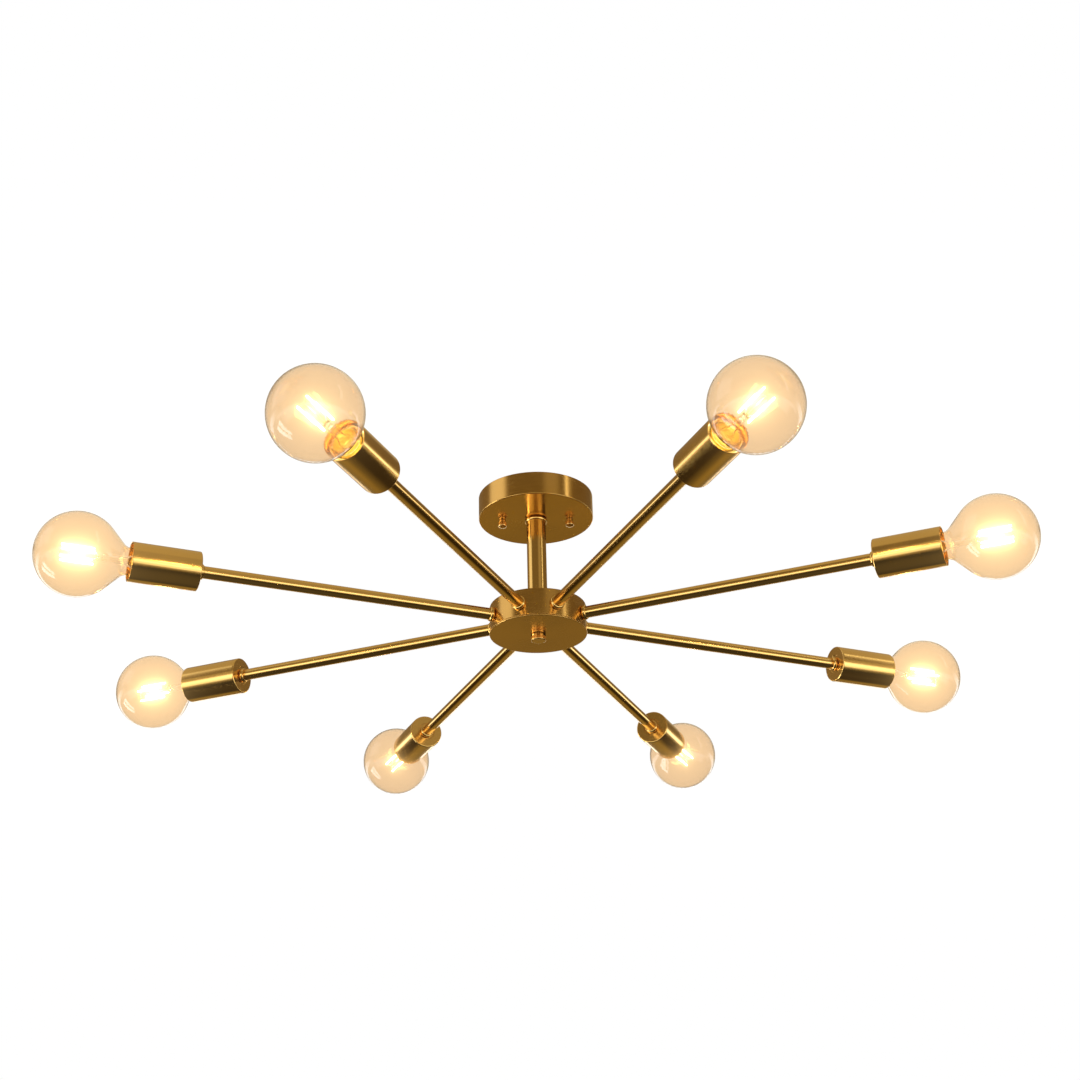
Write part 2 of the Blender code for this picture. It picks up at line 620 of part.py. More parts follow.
def make_harness(name, side, colour):
    """One conductor: a lead up the stem, a ring in the hub, a wire down each arm."""
    level = ARM_HEIGHT + side * WIRE_OFFSET
    radius = WIRE_DIAMETER / 2
    bpy.ops.mesh.primitive_torus_add(major_segments=24, minor_segments=8, location=(0, 0, level),
                                     major_radius=WIRE_RING_RADIUS,
                                     minor_radius=BUNDLE_DIAMETER / 2)
    ring = bpy.context.object
    ring.name = name
    for collection in list(ring.users_collection):
        collection.objects.unlink(ring)
    parts.objects.link(ring)
    ring.data.materials.append(new_material(name + "_pvc", colour, 0.5))
    end = CUP_BACK + CUP_WALL + SPIGOT_LENGTH + WIRE_PAST_SPIGOT
    for number in range(ARM_COUNT):
        angle = FIRST_ARM_ANGLE + number * math.tau / ARM_COUNT
        direction = Vector((math.cos(angle), math.sin(angle), 0.0))
        ends = [direction * WIRE_RING_RADIUS + Vector((0, 0, level)),
                direction * end + Vector((0, 0, level))]
        add_boolean(ring, tube_mesh(f"{name}_arm_{number + 1}", ends, radius), "UNION")
    top = connector_height()
    bend = LEAD_BEND
    inset = bend * (1 - math.sqrt(0.5))
    y = side * WIRE_OFFSET
    reach = CONNECTOR_START + CONNECTOR_WIRE_DEPTH
    anchors = [(side * reach, y, top), (side * (CONNECTOR_START - bend), y, top),
               (side * bend, y, top), (side * inset, y, top - inset),
               (0.0, y, top - bend), (0.0, y, level + 2 * bend), (0.0, y, level + bend),
               (side * inset, y, level + inset), (side * bend, y, level),
               (side * WIRE_RING_RADIUS, y, level)]
    add_boolean(ring, tube_mesh(f"{name}_riser", anchors, radius), "UNION")


def make_connectors():
    """Twist-on caps over the ends of the two supply leads, inside the canopy."""
    radius = CONNECTOR_DIAMETER / 2
    bore = WIRE_DIAMETER / 2 + THREAD_GAP
    depth = CONNECTOR_WIRE_DEPTH + 2 * TOUCH_GAP
    neck = CONNECTOR_NECK_DIAMETER / 2
    profile = [(0.0, CONNECTOR_LENGTH), (CONNECTOR_TIP_DIAMETER / 2, CONNECTOR_LENGTH),
               (neck, CONNECTOR_LENGTH - CONNECTOR_TIP_EDGE), (radius, CONNECTOR_SKIRT),
               (radius, 0.0), (bore, 0.0), (bore, depth), (0.0, depth)]
    mesh = turned_mesh("wire_connector", profile, SMALL)
    plastic = new_material("connector_plastic", (0.75, 0.2, 0.04), 0.45)
    for side, word in ((1, "live"), (-1, "neutral")):
        connector = place(f"{word}_connector", mesh, plastic,
                          location=(side * CONNECTOR_START, side * WIRE_OFFSET, connector_height()))
        connector.rotation_euler = (0.0, side * math.pi / 2, 0.0)


def terminal_mesh(name, hole_radius, outer_radius, top, place_xy):
    """Flat ring terminal about a vertical axis."""
    profile = [(outer_radius, top), (outer_radius, top - TERMINAL_THICKNESS),
               (hole_radius, top - TERMINAL_THICKNESS), (hole_radius, top)]
    mesh = turned_mesh(name, profile, SMALL)
    mesh.transform(Matrix.Translation((*place_xy, 0.0)))
    return mesh


def make_ground():
    """Earth screw in the crossbar, and the lead from it to the canopy nipple."""
    eye_top = -CROSSBAR_THICKNESS - TOUCH_GAP
    head_top = eye_top - TERMINAL_THICKNESS - TOUCH_GAP
    shank = GROUND_SCREW_DIAMETER / 2
    head = GROUND_HEAD_DIAMETER / 2
    profile = [(0.0, -TOUCH_GAP), (shank, -TOUCH_GAP), (shank, head_top), (head, head_top),
               (head, head_top - GROUND_HEAD_HEIGHT / 2),
               (0.7 * head, head_top - GROUND_HEAD_HEIGHT), (0.0, head_top - GROUND_HEAD_HEIGHT)]
    place("ground_screw", turned_mesh("ground_screw", profile, SMALL),
          new_material("ground_screw_green", (0.05, 0.3, 0.08), 0.4, 0.6),
          location=(*GROUND_SCREW_PLACE, 0.0))
    eye_ring = head + EYE_MARGIN
    nut_eye = LOCKNUT_CORNER_RADIUS + EYE_MARGIN
    nut_eye_top = CANOPY_FLOOR + TOUCH_GAP + TERMINAL_THICKNESS
    lead = place("ground_lead",
                 terminal_mesh("ground_eye", shank + THREAD_GAP, eye_ring, eye_top,
                               GROUND_SCREW_PLACE),
                 new_material("ground_pvc", (0.1, 0.4, 0.12), 0.5))
    nipple_eye = terminal_mesh("nipple_eye", NIPPLE_HOLE_RADIUS, nut_eye, nut_eye_top, (0.0, 0.0))
    add_boolean(lead, nipple_eye, "UNION")
    radius = WIRE_DIAMETER / 2 - THREAD_GAP
    half = TERMINAL_THICKNESS / 2
    x, y = GROUND_SCREW_PLACE
    anchors = [(x, y + eye_ring - LEAD_OVERLAP, eye_top - half),
               (x, y + eye_ring + 3 * EYE_MARGIN, eye_top - 3 * half),
               (0.8 * x, y + eye_ring + 7 * EYE_MARGIN, 0.4 * CANOPY_FLOOR),
               (0.3 * x, nut_eye + 6 * EYE_MARGIN, 0.75 * CANOPY_FLOOR),
               (0.0, nut_eye + 3 * EYE_MARGIN, nut_eye_top + radius),
               (0.0, nut_eye - LEAD_OVERLAP, nut_eye_top)]
    add_boolean(lead, tube_mesh("ground_wire", smooth_route(anchors, 3), radius), "UNION")


def main():
    """Model every piece of the light."""
    make_canopy()
    make_crossbar()
    make_studs_and_nuts()
    make_stem()
    make_hub()
    make_cover_and_finial()
    make_arms()
    make_harness("live_harness", 1, (0.03, 0.03, 0.03))
    make_harness("neutral_harness", -1, (0.85, 0.85, 0.82))
    make_connectors()
    make_ground()


for old in list(bpy.data.objects):
    bpy.data.objects.remove(old)
parts = new_collection("multi_arm_chandelier")
cutters = new_collection("cutters")
main()
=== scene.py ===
"""Eight-arm brass ceiling light with lit globe bulbs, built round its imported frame.

Lengths are metres and +Z is up. The origin lies in the ceiling plane, at the
middle of the light, and the light hangs below it. A piece that repeats along
the arms is modelled once, standing on +Z, where a height is a distance from the
light's vertical centre line, and is then laid along each arm.
"""

import json
import math

import bpy
from bpy.props import FloatProperty, FloatVectorProperty, IntProperty, PointerProperty
from mathutils import Matrix, Vector


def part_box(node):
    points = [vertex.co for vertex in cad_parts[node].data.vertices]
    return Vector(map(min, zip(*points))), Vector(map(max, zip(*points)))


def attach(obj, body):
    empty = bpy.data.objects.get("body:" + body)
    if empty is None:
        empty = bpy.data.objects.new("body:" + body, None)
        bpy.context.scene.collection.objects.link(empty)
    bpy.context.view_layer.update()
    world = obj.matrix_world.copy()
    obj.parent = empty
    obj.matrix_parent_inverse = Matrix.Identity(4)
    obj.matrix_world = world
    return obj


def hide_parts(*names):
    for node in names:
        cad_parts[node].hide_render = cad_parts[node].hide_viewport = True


bl_info = {
    "name": "Multi-arm ceiling light",
    "version": (1, 0, 0),
    "blender": (4, 5, 0),
    "location": "3D View > Sidebar > Ceiling Light",
    "description": "Models a brass ceiling light with eight globe bulbs piece by piece",
    "category": "Add Mesh",
}

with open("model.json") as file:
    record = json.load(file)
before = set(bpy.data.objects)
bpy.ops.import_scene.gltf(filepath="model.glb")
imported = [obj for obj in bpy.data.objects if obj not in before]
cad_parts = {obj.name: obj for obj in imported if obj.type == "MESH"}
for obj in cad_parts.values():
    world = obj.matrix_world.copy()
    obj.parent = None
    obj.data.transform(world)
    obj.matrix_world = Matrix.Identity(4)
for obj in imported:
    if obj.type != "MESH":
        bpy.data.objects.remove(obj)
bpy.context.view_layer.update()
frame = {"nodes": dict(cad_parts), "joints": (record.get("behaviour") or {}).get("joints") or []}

MM = 0.001
ARM_AXES = [Vector(joint["axis"]) for joint in frame["joints"] if joint["type"] == "slide"]
ARM_HEIGHT = sum(corner.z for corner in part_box("arm_1")) / 2
SHEET = 1 * MM                 # wall of the canopy and of the cups
CLEARANCE = 0.3 * MM           # between a thread and its hole
THREAD_TIP = 0.5 * MM          # chamfer at a threaded end
NEEDLE = 0.2 * MM              # radius at which an outline without a ring meets the axis
SPIGOT = 4.8 * MM              # radius of the arms' threaded ends
BOX_SCREW_PLACE = 44.45 * MM   # of the strap's screw holes, either side of its middle
BOX_SCREW_HOLE = 2.4 * MM      # radius
EARTH_SHANK = 2 * MM           # radius of the earth screw
WIRE_OFFSET = 1.8 * MM         # either side of a bore's centre line
WIRE_RING = 20 * MM            # radius of the ring of wires in the hub
WIRE_BEND = 3.2 * MM


# Measures from the frame

def reach(node, axis=ARM_AXES[0]):
    """Return how near and how far a node reaches along an axis from the centre line."""
    along = [vertex.co.dot(axis) for vertex in frame["nodes"][node].data.vertices]
    return min(along), max(along)


def heights(node):
    """Return a node's lowest and highest height."""
    low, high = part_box(node)
    return low.z, high.z


def half_width(node):
    """Return half of a node's width along Y."""
    low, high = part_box(node)
    return (high.y - low.y) / 2


def half_height(node):
    """Return half of a node's height."""
    low, high = heights(node)
    return (high - low) / 2


def middle(node):
    """Return the middle of a node's box."""
    low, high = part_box(node)
    return (low + high) / 2


def at(x=0.0, y=0.0, z=0.0):
    """Return a place."""
    return Matrix.Translation((x, y, z))


def along_arm(axis, distance=0.0):
    """Return a place on an arm's line, with Z outwards."""
    turn = axis.to_track_quat("Z", "Y").to_matrix().to_4x4()
    return Matrix.Translation(axis * distance + Vector((0, 0, ARM_HEIGHT))) @ turn


# Modelling

def only(*pieces):
    """Select these objects and no others, and make the first one active."""
    bpy.ops.object.select_all(action="DESELECT")
    for piece in pieces:
        piece.select_set(True)
    bpy.context.view_layer.objects.active = pieces[0]


def added(add, **settings):
    """Add an object with nothing else selected."""
    bpy.ops.object.select_all(action="DESELECT")
    add(**settings)
    return bpy.context.object


def settled(piece):
    """Apply a piece's place, turn and scale to its mesh."""
    only(piece)
    bpy.ops.object.transform_apply(location=True, rotation=True, scale=True)
    return piece


def named(piece, name):
    """Name a piece and its mesh."""
    piece.name = name
    piece.data.name = name
    return piece


def arc(centre, radius, start, end, steps=6):
    """Return an outline's points round an arc, by degrees from its outer side upwards."""
    turns = [math.radians(start + (end - start) * i / steps) for i in range(steps + 1)]
    return [(centre[0] + radius * math.cos(a), centre[1] + radius * math.sin(a)) for a in turns]


def swell(inner, outer, low, high, steps=10):
    """Return the outline of a half-round bead between two heights."""
    turns = [math.pi * i / steps for i in range(steps + 1)]
    mid, half = (low + high) / 2, (high - low) / 2
    return [(inner + (outer - inner) * math.sin(a), mid - half * math.cos(a)) for a in turns]


def straight(radius, low, high, step):
    """Return evenly spaced rings of one radius between two heights."""
    count = max(1, round(abs(high - low) / step))
    return [(radius, low + (high - low) * i / count) for i in range(count + 1)]


def held(outline, margin=0.4 * MM):
    """Add a ring near both ends of each long stretch, so that its shading stays even."""
    rings = []
    for (r0, z0), (r1, z1) in zip(outline, outline[1:]):
        rings.append((r0, z0))
        length = math.hypot(r1 - r0, z1 - z0)
        if length > 5 * margin:
            for share in (margin / length, 1 - margin / length):
                rings.append((r0 + (r1 - r0) * share, z0 + (z1 - z0) * share))
    return rings + [outline[-1]]


def turned(name, outline, sides, ring=True):
    """Turn an outline of (radius, height) points about Z, extruding it ring by ring.

    A ring comes back to its first point. Any other outline starts and ends close
    to the axis, where its two ends are filled.
    """
    outline = held(outline + outline[:1] if ring else outline)
    radius, height = outline[0]
    piece = added(bpy.ops.mesh.primitive_circle_add, vertices=sides, radius=radius,
                  location=(0, 0, height), fill_type="NOTHING" if ring else "NGON")
    bpy.ops.object.mode_set(mode="EDIT")
    for (r0, z0), (r1, z1) in zip(outline, outline[1:]):
        bpy.ops.mesh.extrude_region_move(TRANSFORM_OT_translate={"value": (0, 0, z1 - z0)})
        if r1 != r0:
            bpy.ops.transform.resize(value=(r1 / r0, r1 / r0, 1), center_override=(0, 0, z1))
    return closed_up(piece, name)


def closed_up(piece, name):
    """Merge a piece's doubles, turn its faces outwards and name it."""
    if piece.mode != "EDIT":
        only(piece)
        bpy.ops.object.mode_set(mode="EDIT")
    bpy.ops.mesh.select_all(action="SELECT")
    bpy.ops.mesh.remove_doubles(threshold=0.01 * MM)
    bpy.ops.mesh.normals_make_consistent(inside=False)
    bpy.ops.object.mode_set(mode="OBJECT")
    return named(settled(piece), name)


def roll_thread(piece, low, high, pitch, depth, inside=0.0):
    """Press a right-handed thread into what lies beyond a radius, between two heights."""
    for vertex in piece.data.vertices:
        x, y, z = vertex.co
        radius = math.hypot(x, y)
        if low < z < high and radius > inside:
            fade = min(1, (z - low) / pitch, (high - z) / pitch)
            phase = math.tau * z / pitch - math.atan2(y, x)
            share = 1 - depth * fade * (0.5 - 0.5 * math.cos(phase)) / radius
            vertex.co = (x * share, y * share, z)


def flute(piece, low, high, thickness, depth):
    """Press a groove into every second one of a piece's side faces between two heights."""
    only(piece)
    bpy.ops.object.mode_set(mode="EDIT")
    bpy.ops.mesh.select_all(action="DESELECT")
    bpy.ops.object.mode_set(mode="OBJECT")
    side = [face for face in piece.data.polygons
            if low < face.center.z < high and math.hypot(*face.normal.xy) > 0.8
            and face.normal.xy.dot(face.center.xy) > 0 and face.area > 0.4 * MM * MM]
    side.sort(key=lambda face: (round(face.center.z, 5), math.atan2(face.center.y, face.center.x)))
    for face in side[::2]:
        face.select = True
    bpy.ops.object.mode_set(mode="EDIT")
    bpy.ops.mesh.select_mode(type="FACE")
    bpy.ops.mesh.inset(thickness=thickness, depth=-depth, use_individual=True)
    bpy.ops.mesh.select_mode(type="VERT")
    bpy.ops.object.mode_set(mode="OBJECT")
    return piece


def tool(radius, depth, place, sides=48):
    """Add a drill: a cylinder whose axis is the place's Z."""
    drill = added(bpy.ops.mesh.primitive_cylinder_add, vertices=sides, radius=radius, depth=depth)
    drill.matrix_world = place
    return drill


def modified(piece, kind, **settings):
    """Apply a modifier to a piece."""
    modifier = piece.modifiers.new(kind, kind)
    for key, value in settings.items():
        setattr(modifier, key, value)
    only(piece)
    bpy.ops.object.modifier_apply(modifier=modifier.name)
    return piece


def cut(piece, *tools):
    """Cut tools out of a piece and remove them."""
    for cutter in tools:
        modified(piece, "BOOLEAN", operation="DIFFERENCE", solver="EXACT", object=cutter)
        bpy.data.objects.remove(cutter)
    return piece


def bevelled(piece, width, segments=3, angle=40):
    """Round a piece's edges that are sharper than an angle."""
    return modified(piece, "BEVEL", width=width, segments=segments, limit_method="ANGLE",
                    angle_limit=math.radians(angle))


def joined(pieces, name):
    """Join objects into one."""
    only(*pieces)
    if len(pieces) > 1:
        bpy.ops.object.join()
    return named(pieces[0], name)


def wire(name, routes, radius):
    """Bend round wire along lists of points, as one mesh."""
    curve = bpy.data.curves.new(name, "CURVE")
    curve.dimensions = "3D"
    curve.bevel_depth = radius
    curve.bevel_resolution = 3
    curve.resolution_u = 8
    curve.use_fill_caps = True
    for points in routes:
        spline = curve.splines.new("NURBS")
        spline.points.add(len(points) - 1)
        for target, point in zip(spline.points, points):
            target.co = (*point, 1.0)
        spline.order_u = min(4, len(points))
        spline.use_endpoint_u = True
    piece = bpy.data.objects.new(name, curve)
    bpy.context.scene.collection.objects.link(piece)
    only(piece)
    bpy.ops.object.convert(target="MESH")
    return closed_up(bpy.context.object, name)


def keep_own_place(piece):
    """Store where each point lies before the piece is laid in place, for its grain."""
    places = piece.data.attributes.new("own_place", "FLOAT_VECTOR", "POINT")
    for value, vertex in zip(places.data, piece.data.vertices):
        value.vector = vertex.co


def finished(piece, material, body="root", nodes=()):
    """Shade and paint a piece, and fasten it to its body."""
    piece.data.materials.append(material)
    if "own_place" not in piece.data.attributes:
        keep_own_place(piece)
    only(piece)
    bpy.ops.object.shade_smooth_by_angle(angle=math.radians(35))
    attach(piece, body)
    if nodes:
        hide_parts(*nodes)
    return piece


def copied(pattern, name, place):
    """Copy a pattern with a mesh of its own and lay the copy in place."""
    piece = pattern.copy()
    piece.data = pattern.data.copy()
    bpy.context.scene.collection.objects.link(piece)
    piece.matrix_world = place
    return settled(named(piece, name))


def on_every_arm(pattern, name, material, body="root", node=None):
    """Lay a copy of a standing pattern along each arm. {} is the arm's number."""
    keep_own_place(pattern)
    pieces = []
    for number, axis in enumerate(ARM_AXES, 1):
        nodes = [node.format(number)] if node else []
        pieces.append(finished(copied(pattern, name.format(number), along_arm(axis)), material,
                               body.format(number), nodes))
    bpy.data.objects.remove(pattern)
    return pieces


# Materials

def feed(made, inputs):
    """Give each named input of a node a value or another node's output."""
    for key, value in inputs.items():
        if isinstance(value, bpy.types.NodeSocket):
            made.id_data.links.new(value, made.inputs[key])
        else:
            made.inputs[key].default_value = value


def node(tree, kind, inputs=None, **settings):
    """Add a node with its settings and inputs."""
    made = tree.nodes.new(kind)
    for key, value in settings.items():
        setattr(made, key, value)
    feed(made, inputs or {})
    return made


def maths(tree, operation, *values):
    """Add a maths node on sockets or numbers and return its result."""
    return node(tree, "ShaderNodeMath", dict(enumerate(values)), operation=operation).outputs[0]


def mapped(tree, value, start, end, low=0.0, high=1.0, kind="LINEAR"):
    """Map one range of values to another."""
    return node(tree, "ShaderNodeMapRange",
                {"Value": value, "From Min": start, "From Max": end, "To Min": low, "To Max": high},
                interpolation_type=kind).outputs["Result"]


def spread(tree, value, low, high):
    """Map a texture's middle range to two values."""
    return mapped(tree, value, 0.3, 0.7, low, high)


def mixed(tree, factor, first, second):
    """Mix two colours by a factor."""
    return node(tree, "ShaderNodeMix", {"Factor": factor, "A": first, "B": second},
                data_type="RGBA").outputs["Result"]


def noise(tree, vector, scale, detail=3.0):
    """Add a noise texture and return its value."""
    return node(tree, "ShaderNodeTexNoise",
                {"Vector": vector, "Scale": scale, "Detail": detail}).outputs["Fac"]


def object_place(tree):
    """Return the object's coordinates."""
    return node(tree, "ShaderNodeTexCoord").outputs["Object"]


def own_place(tree):
    """Return the piece's own coordinates, with Z along its axis."""
    return node(tree, "ShaderNodeAttribute", attribute_name="own_place").outputs["Vector"]


def round_axis(tree, across, around):
    """Return coordinates that run round the piece's axis, for a turned grain."""
    x, y, z = node(tree, "ShaderNodeSeparateXYZ", {0: own_place(tree)}).outputs
    radius = maths(tree, "SQRT", maths(tree, "ADD", maths(tree, "MULTIPLY", x, x),
                                       maths(tree, "MULTIPLY", y, y)))
    parts = {0: maths(tree, "MULTIPLY", radius, across), 1: maths(tree, "MULTIPLY", z, across),
             2: maths(tree, "MULTIPLY", maths(tree, "ARCTAN2", y, x), around)}
    return node(tree, "ShaderNodeCombineXYZ", parts).outputs[0]


def along_axis(tree, across, along):
    """Return coordinates stretched along the piece's axis, for a drawn grain."""
    return node(tree, "ShaderNodeMapping", {"Vector": own_place(tree),
                                            "Scale": (across, across, along)}).outputs["Vector"]


def blank(name, inputs):
    """Start a material and return it with its tree and its shader."""
    material = bpy.data.materials.new(name)
    material.use_nodes = True
    tree = material.node_tree
    shader = tree.nodes["Principled BSDF"]
    feed(shader, inputs)
    return material, tree, shader


def surfaced(shader, colour, amount, tint, roughness, height=None, distance=0.0, strength=1.0):
    """Vary a surface's lightness and roughness, and raise it by a texture if one is given."""
    tree = shader.id_data
    dark = (*[c * (1 - amount) for c in colour], 1)
    light = (*[min(1, c * (1 + amount)) for c in colour], 1)
    feed(shader, {"Base Color": mixed(tree, tint, dark, light), "Roughness": roughness})
    if height is not None:
        bump = node(tree, "ShaderNodeBump",
                    {"Distance": distance, "Strength": strength, "Height": height})
        feed(shader, {"Normal": bump.outputs["Normal"]})


def brass(name, colour, roughness, grain, drawn=False, anisotropy=0.0):
    """Make a brass with a fine grain, faint handling marks and uneven lacquer."""
    material, tree, shader = blank(name, {"Metallic": 1.0, "Anisotropic": anisotropy})
    if anisotropy:
        tangent = node(tree, "ShaderNodeTangent", direction_type="RADIAL", axis="Z")
        feed(shader, {"Tangent": tangent.outputs[0], "Anisotropic Rotation": 0.25})
    fine = noise(tree, along_axis(tree, 2600, 12) if drawn else round_axis(tree, 2600, 4), 1.0)
    place = object_place(tree)
    marks = noise(tree, place, 28, 4)
    lacquer = noise(tree, place, 9, 2)
    tone = maths(tree, "MULTIPLY_ADD", fine, 0.35, maths(tree, "MULTIPLY", lacquer, 0.65))
    dullness = maths(tree, "ADD", spread(tree, fine, roughness - grain, roughness + grain),
                     spread(tree, marks, -0.02, 0.045))
    surfaced(shader, colour, 0.07, spread(tree, tone, 0, 1), dullness, fine,
             grain * 0.04 * MM, 0.5)
    return material


def steel(name, colour):
    """Make zinc-plated steel with its cloudy spangle."""
    material, tree, shader = blank(name, {"Metallic": 1.0})
    place = object_place(tree)
    cells = node(tree, "ShaderNodeTexVoronoi", {"Scale": 350, "Vector": place})
    cloud = noise(tree, place, 120)
    surfaced(shader, colour, 0.1, cells.outputs["Distance"], spread(tree, cloud, 0.3, 0.45),
             cloud, 0.03 * MM)
    return material


def moulded(name, colour, roughness, coat=0.0, scale=400):
    """Make a moulded or glazed surface with a faint orange peel."""
    material, tree, shader = blank(name, {"Coat Weight": coat})
    place = object_place(tree)
    peel = noise(tree, place, scale)
    surfaced(shader, colour, 0.06, noise(tree, place, scale / 8),
             spread(tree, peel, roughness - 0.05, roughness + 0.08), peel, 0.02 * MM)
    return material


def clear_glass(name, colour):
    """Make blown glass, a little uneven."""
    material, tree, shader = blank(name, {"Transmission Weight": 1.0, "IOR": 1.45})
    place = object_place(tree)
    surfaced(shader, colour, 0.02, noise(tree, place, 20),
             spread(tree, noise(tree, place, 60), 0.0, 0.01), noise(tree, place, 25, 1), 0.05 * MM)
    return material


def glowing(name, colour, strength):
    """Make a lit phosphor-coated filament with a grainy coat."""
    material, tree, shader = blank(name, {"Emission Color": (*colour, 1),
                                          "Emission Strength": strength})
    grains = noise(tree, own_place(tree), 900)
    surfaced(shader, colour, 0.1, grains, 0.6, grains, 0.05 * MM)
    return material


# Settings

def a_length(name, description, millimetres):
    """Return a length's property."""
    return FloatProperty(name=name, description=description, unit="LENGTH",
                         default=millimetres * MM)


def a_colour(name, description, *default):
    """Return a colour's property."""
    return FloatVectorProperty(name=name, description=description, subtype="COLOR", size=3,
                               default=default)


def a_number(name, description, default, **limits):
    """Return a plain number's property."""
    return FloatProperty(name=name, description=description, default=default,
                         **{"min": 0, **limits})


def an_angle(name, description, default):
    """Return an angle's property."""
    return FloatProperty(name=name, description=description, subtype="ANGLE", default=default)


class BrassSettings(bpy.types.PropertyGroup):
    """Colours and polish of the brass."""
    brushed: a_colour("Brushed brass", "Canopy and hub", 0.73, 0.435, 0.12)
    satin: a_colour("Satin brass", "Stem, arms and cups", 0.88, 0.57, 0.18)
    polished: a_colour("Polished brass", "Cap nuts and finial", 0.82, 0.52, 0.18)
    lamp: a_colour("Cap brass", "Screw caps and their shells", 0.96, 0.80, 0.34)
    brushed_roughness: a_number("Brushed roughness", "Of canopy and hub", 0.2, min=0.05, max=1)
    satin_roughness: a_number("Satin roughness", "Of arms and cups", 0.16, min=0.05, max=1)


class BulbSettings(bpy.types.PropertyGroup):
    """Glass and light of the bulbs."""
    glass: a_colour("Glass", "Colour of the amber glass", 0.93, 0.765, 0.575)
    wall: a_length("Glass wall", "Thickness of the blown glass", 0.9)
    neck_fillet: a_length("Neck fillet", "Between the globe's cone and neck", 10)
    cap_diameter: a_length("Cap diameter", "Over the thread", 26)
    cap_length: a_length("Cap length", "Without the centre contact", 22)
    thread_pitch: a_length("Thread pitch", "Seven turns to the inch", 25.4 / 7)
    filaments: IntProperty(name="Filaments", description="Number of upright filaments",
                           default=4, min=1, max=8)
    filament_length: a_length("Filament length", "Of each filament", 32)
    filament_circle: a_length("Filament circle", "Radius they stand on", 8)
    glow: a_colour("Glow", "Colour of the lit filaments", 1.0, 0.80, 0.43)
    glow_strength: a_number("Glow strength", "Brightness of the filaments", 160)
    lamp_power: a_number("Lamp power", "Light that each bulb sheds", 0.2, unit="POWER")


class HardwareSettings(bpy.types.PropertyGroup):
    """Sizes of the turned and threaded hardware."""
    edge: a_length("Edge radius", "Of the canopy and the hub", 0.9)
    stem_diameter: a_length("Stem diameter", "Of the stem tube", 20)
    arm_diameter: a_length("Arm diameter", "Of the arm tube", 12)
    bead_diameter: a_length("Bead diameter", "Of the beads on the arms", 15)
    bead_length: a_length("Bead length", "Of the beads on arms and stem", 4)
    nipple_diameter: a_length("Nipple diameter", "Over the thread", 10)
    nipple_bore: a_length("Nipple bore", "Through which the leads run", 7)
    stud_diameter: a_length("Stud diameter", "Of the mounting studs", 4)
    socket_depth: a_length("Socket depth", "Of a lampholder's bore", 22.7)
    wire_diameter: a_length("Lead diameter", "Over the insulation", 2)


class StudioSettings(bpy.types.PropertyGroup):
    """Camera and light."""
    lens: FloatProperty(name="Lens", description="Focal length on a 36 mm sensor",
                        unit="CAMERA", default=58.96)
    elevation: an_angle("Camera tilt", "How far the camera looks up", math.radians(26.03))
    distance: a_length("Camera distance", "From the aim point", 1834.4)
    aim: FloatVectorProperty(name="Aim", description="Aim point from the hub's middle",
                             subtype="TRANSLATION", size=3, default=(0.0037, 0, 0.0913))
    roll: an_angle("Camera roll", "About its own axis", -0.022)
    turn: an_angle("Camera turn", "Round the light", -0.0067)
    floor_drop: a_length("Floor", "How far the floor lies below the ceiling", 1500)
    background: a_number("Background", "Brightness behind the light", 1.0)
    bloom: a_number("Bloom", "Strength of the glow round the filaments", 3.0)
    bloom_size: a_number("Bloom size", "Reach of the glow", 0.5, max=1)
    bloom_threshold: a_number("Bloom threshold", "Brightness that blooms", 3)


# Ceiling fixing

def stud_hole(settings):
    """Return the radius of a hole for a mounting stud."""
    return settings.stud_diameter / 2 + CLEARANCE


def nipple_hole(settings):
    """Return the radius of a hole for a nipple."""
    return settings.nipple_diameter / 2 + CLEARANCE


def threaded_side(radius, low, high, pitch):
    """Return the outline of a threaded rod's side between its two chamfers."""
    side = straight(radius, low + THREAD_TIP, high - THREAD_TIP, pitch / 6)
    return [(radius - THREAD_TIP, low)] + side + [(radius - THREAD_TIP, high)]


def canopy_piece(settings):
    """Model the drawn cup against the ceiling."""
    radius = half_width("canopy")
    bottom = heights("canopy")[0]
    edge = settings.edge
    hole = nipple_hole(settings)
    inner_edge = 0.5 * MM
    outline = arc((radius - SHEET / 2, -SHEET / 2), SHEET / 2, 180, 0)
    outline += arc((radius - edge, bottom + edge), edge, 0, -90)
    outline += [(hole, bottom), (hole, bottom + SHEET)]
    outline += arc((radius - SHEET - inner_edge, bottom + SHEET + inner_edge), inner_edge, -90, 0)
    piece = turned("canopy_cup", outline, 144)
    return cut(piece, *(tool(stud_hole(settings), 6 * SHEET,
                             at(middle("mounting_stud_" + side).x, 0, bottom), 32)
                        for side in ("left", "right")))


def crossbar_piece(settings):
    """Model the pressed strap that carries the studs."""
    low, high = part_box("crossbar")
    size = high - low
    piece = added(bpy.ops.mesh.primitive_cube_add, size=1, location=(low + high) / 2)
    piece.scale = size
    named(settled(piece), "mounting_strap")
    weights = piece.data.attributes.new("bevel_weight_edge", "FLOAT", "EDGE")
    for edge in piece.data.edges:
        a, b = (piece.data.vertices[i].co for i in edge.vertices)
        weights.data[edge.index].value = float(abs(a.z - b.z) > size.z / 2)
    modified(piece, "BEVEL", width=3 * MM, segments=6, limit_method="WEIGHT")
    holes = [(middle("mounting_stud_left").x, 0, stud_hole(settings)),
             (middle("mounting_stud_right").x, 0, stud_hole(settings)),
             (-BOX_SCREW_PLACE, 0, BOX_SCREW_HOLE), (BOX_SCREW_PLACE, 0, BOX_SCREW_HOLE),
             (*middle("ground_screw").xy, EARTH_SHANK + CLEARANCE)]
    drills = [tool(radius, 4 * size.z, at(x, y, low.z), 32) for x, y, radius in holes]
    return bevelled(cut(piece, *drills), 0.25 * MM, 2)


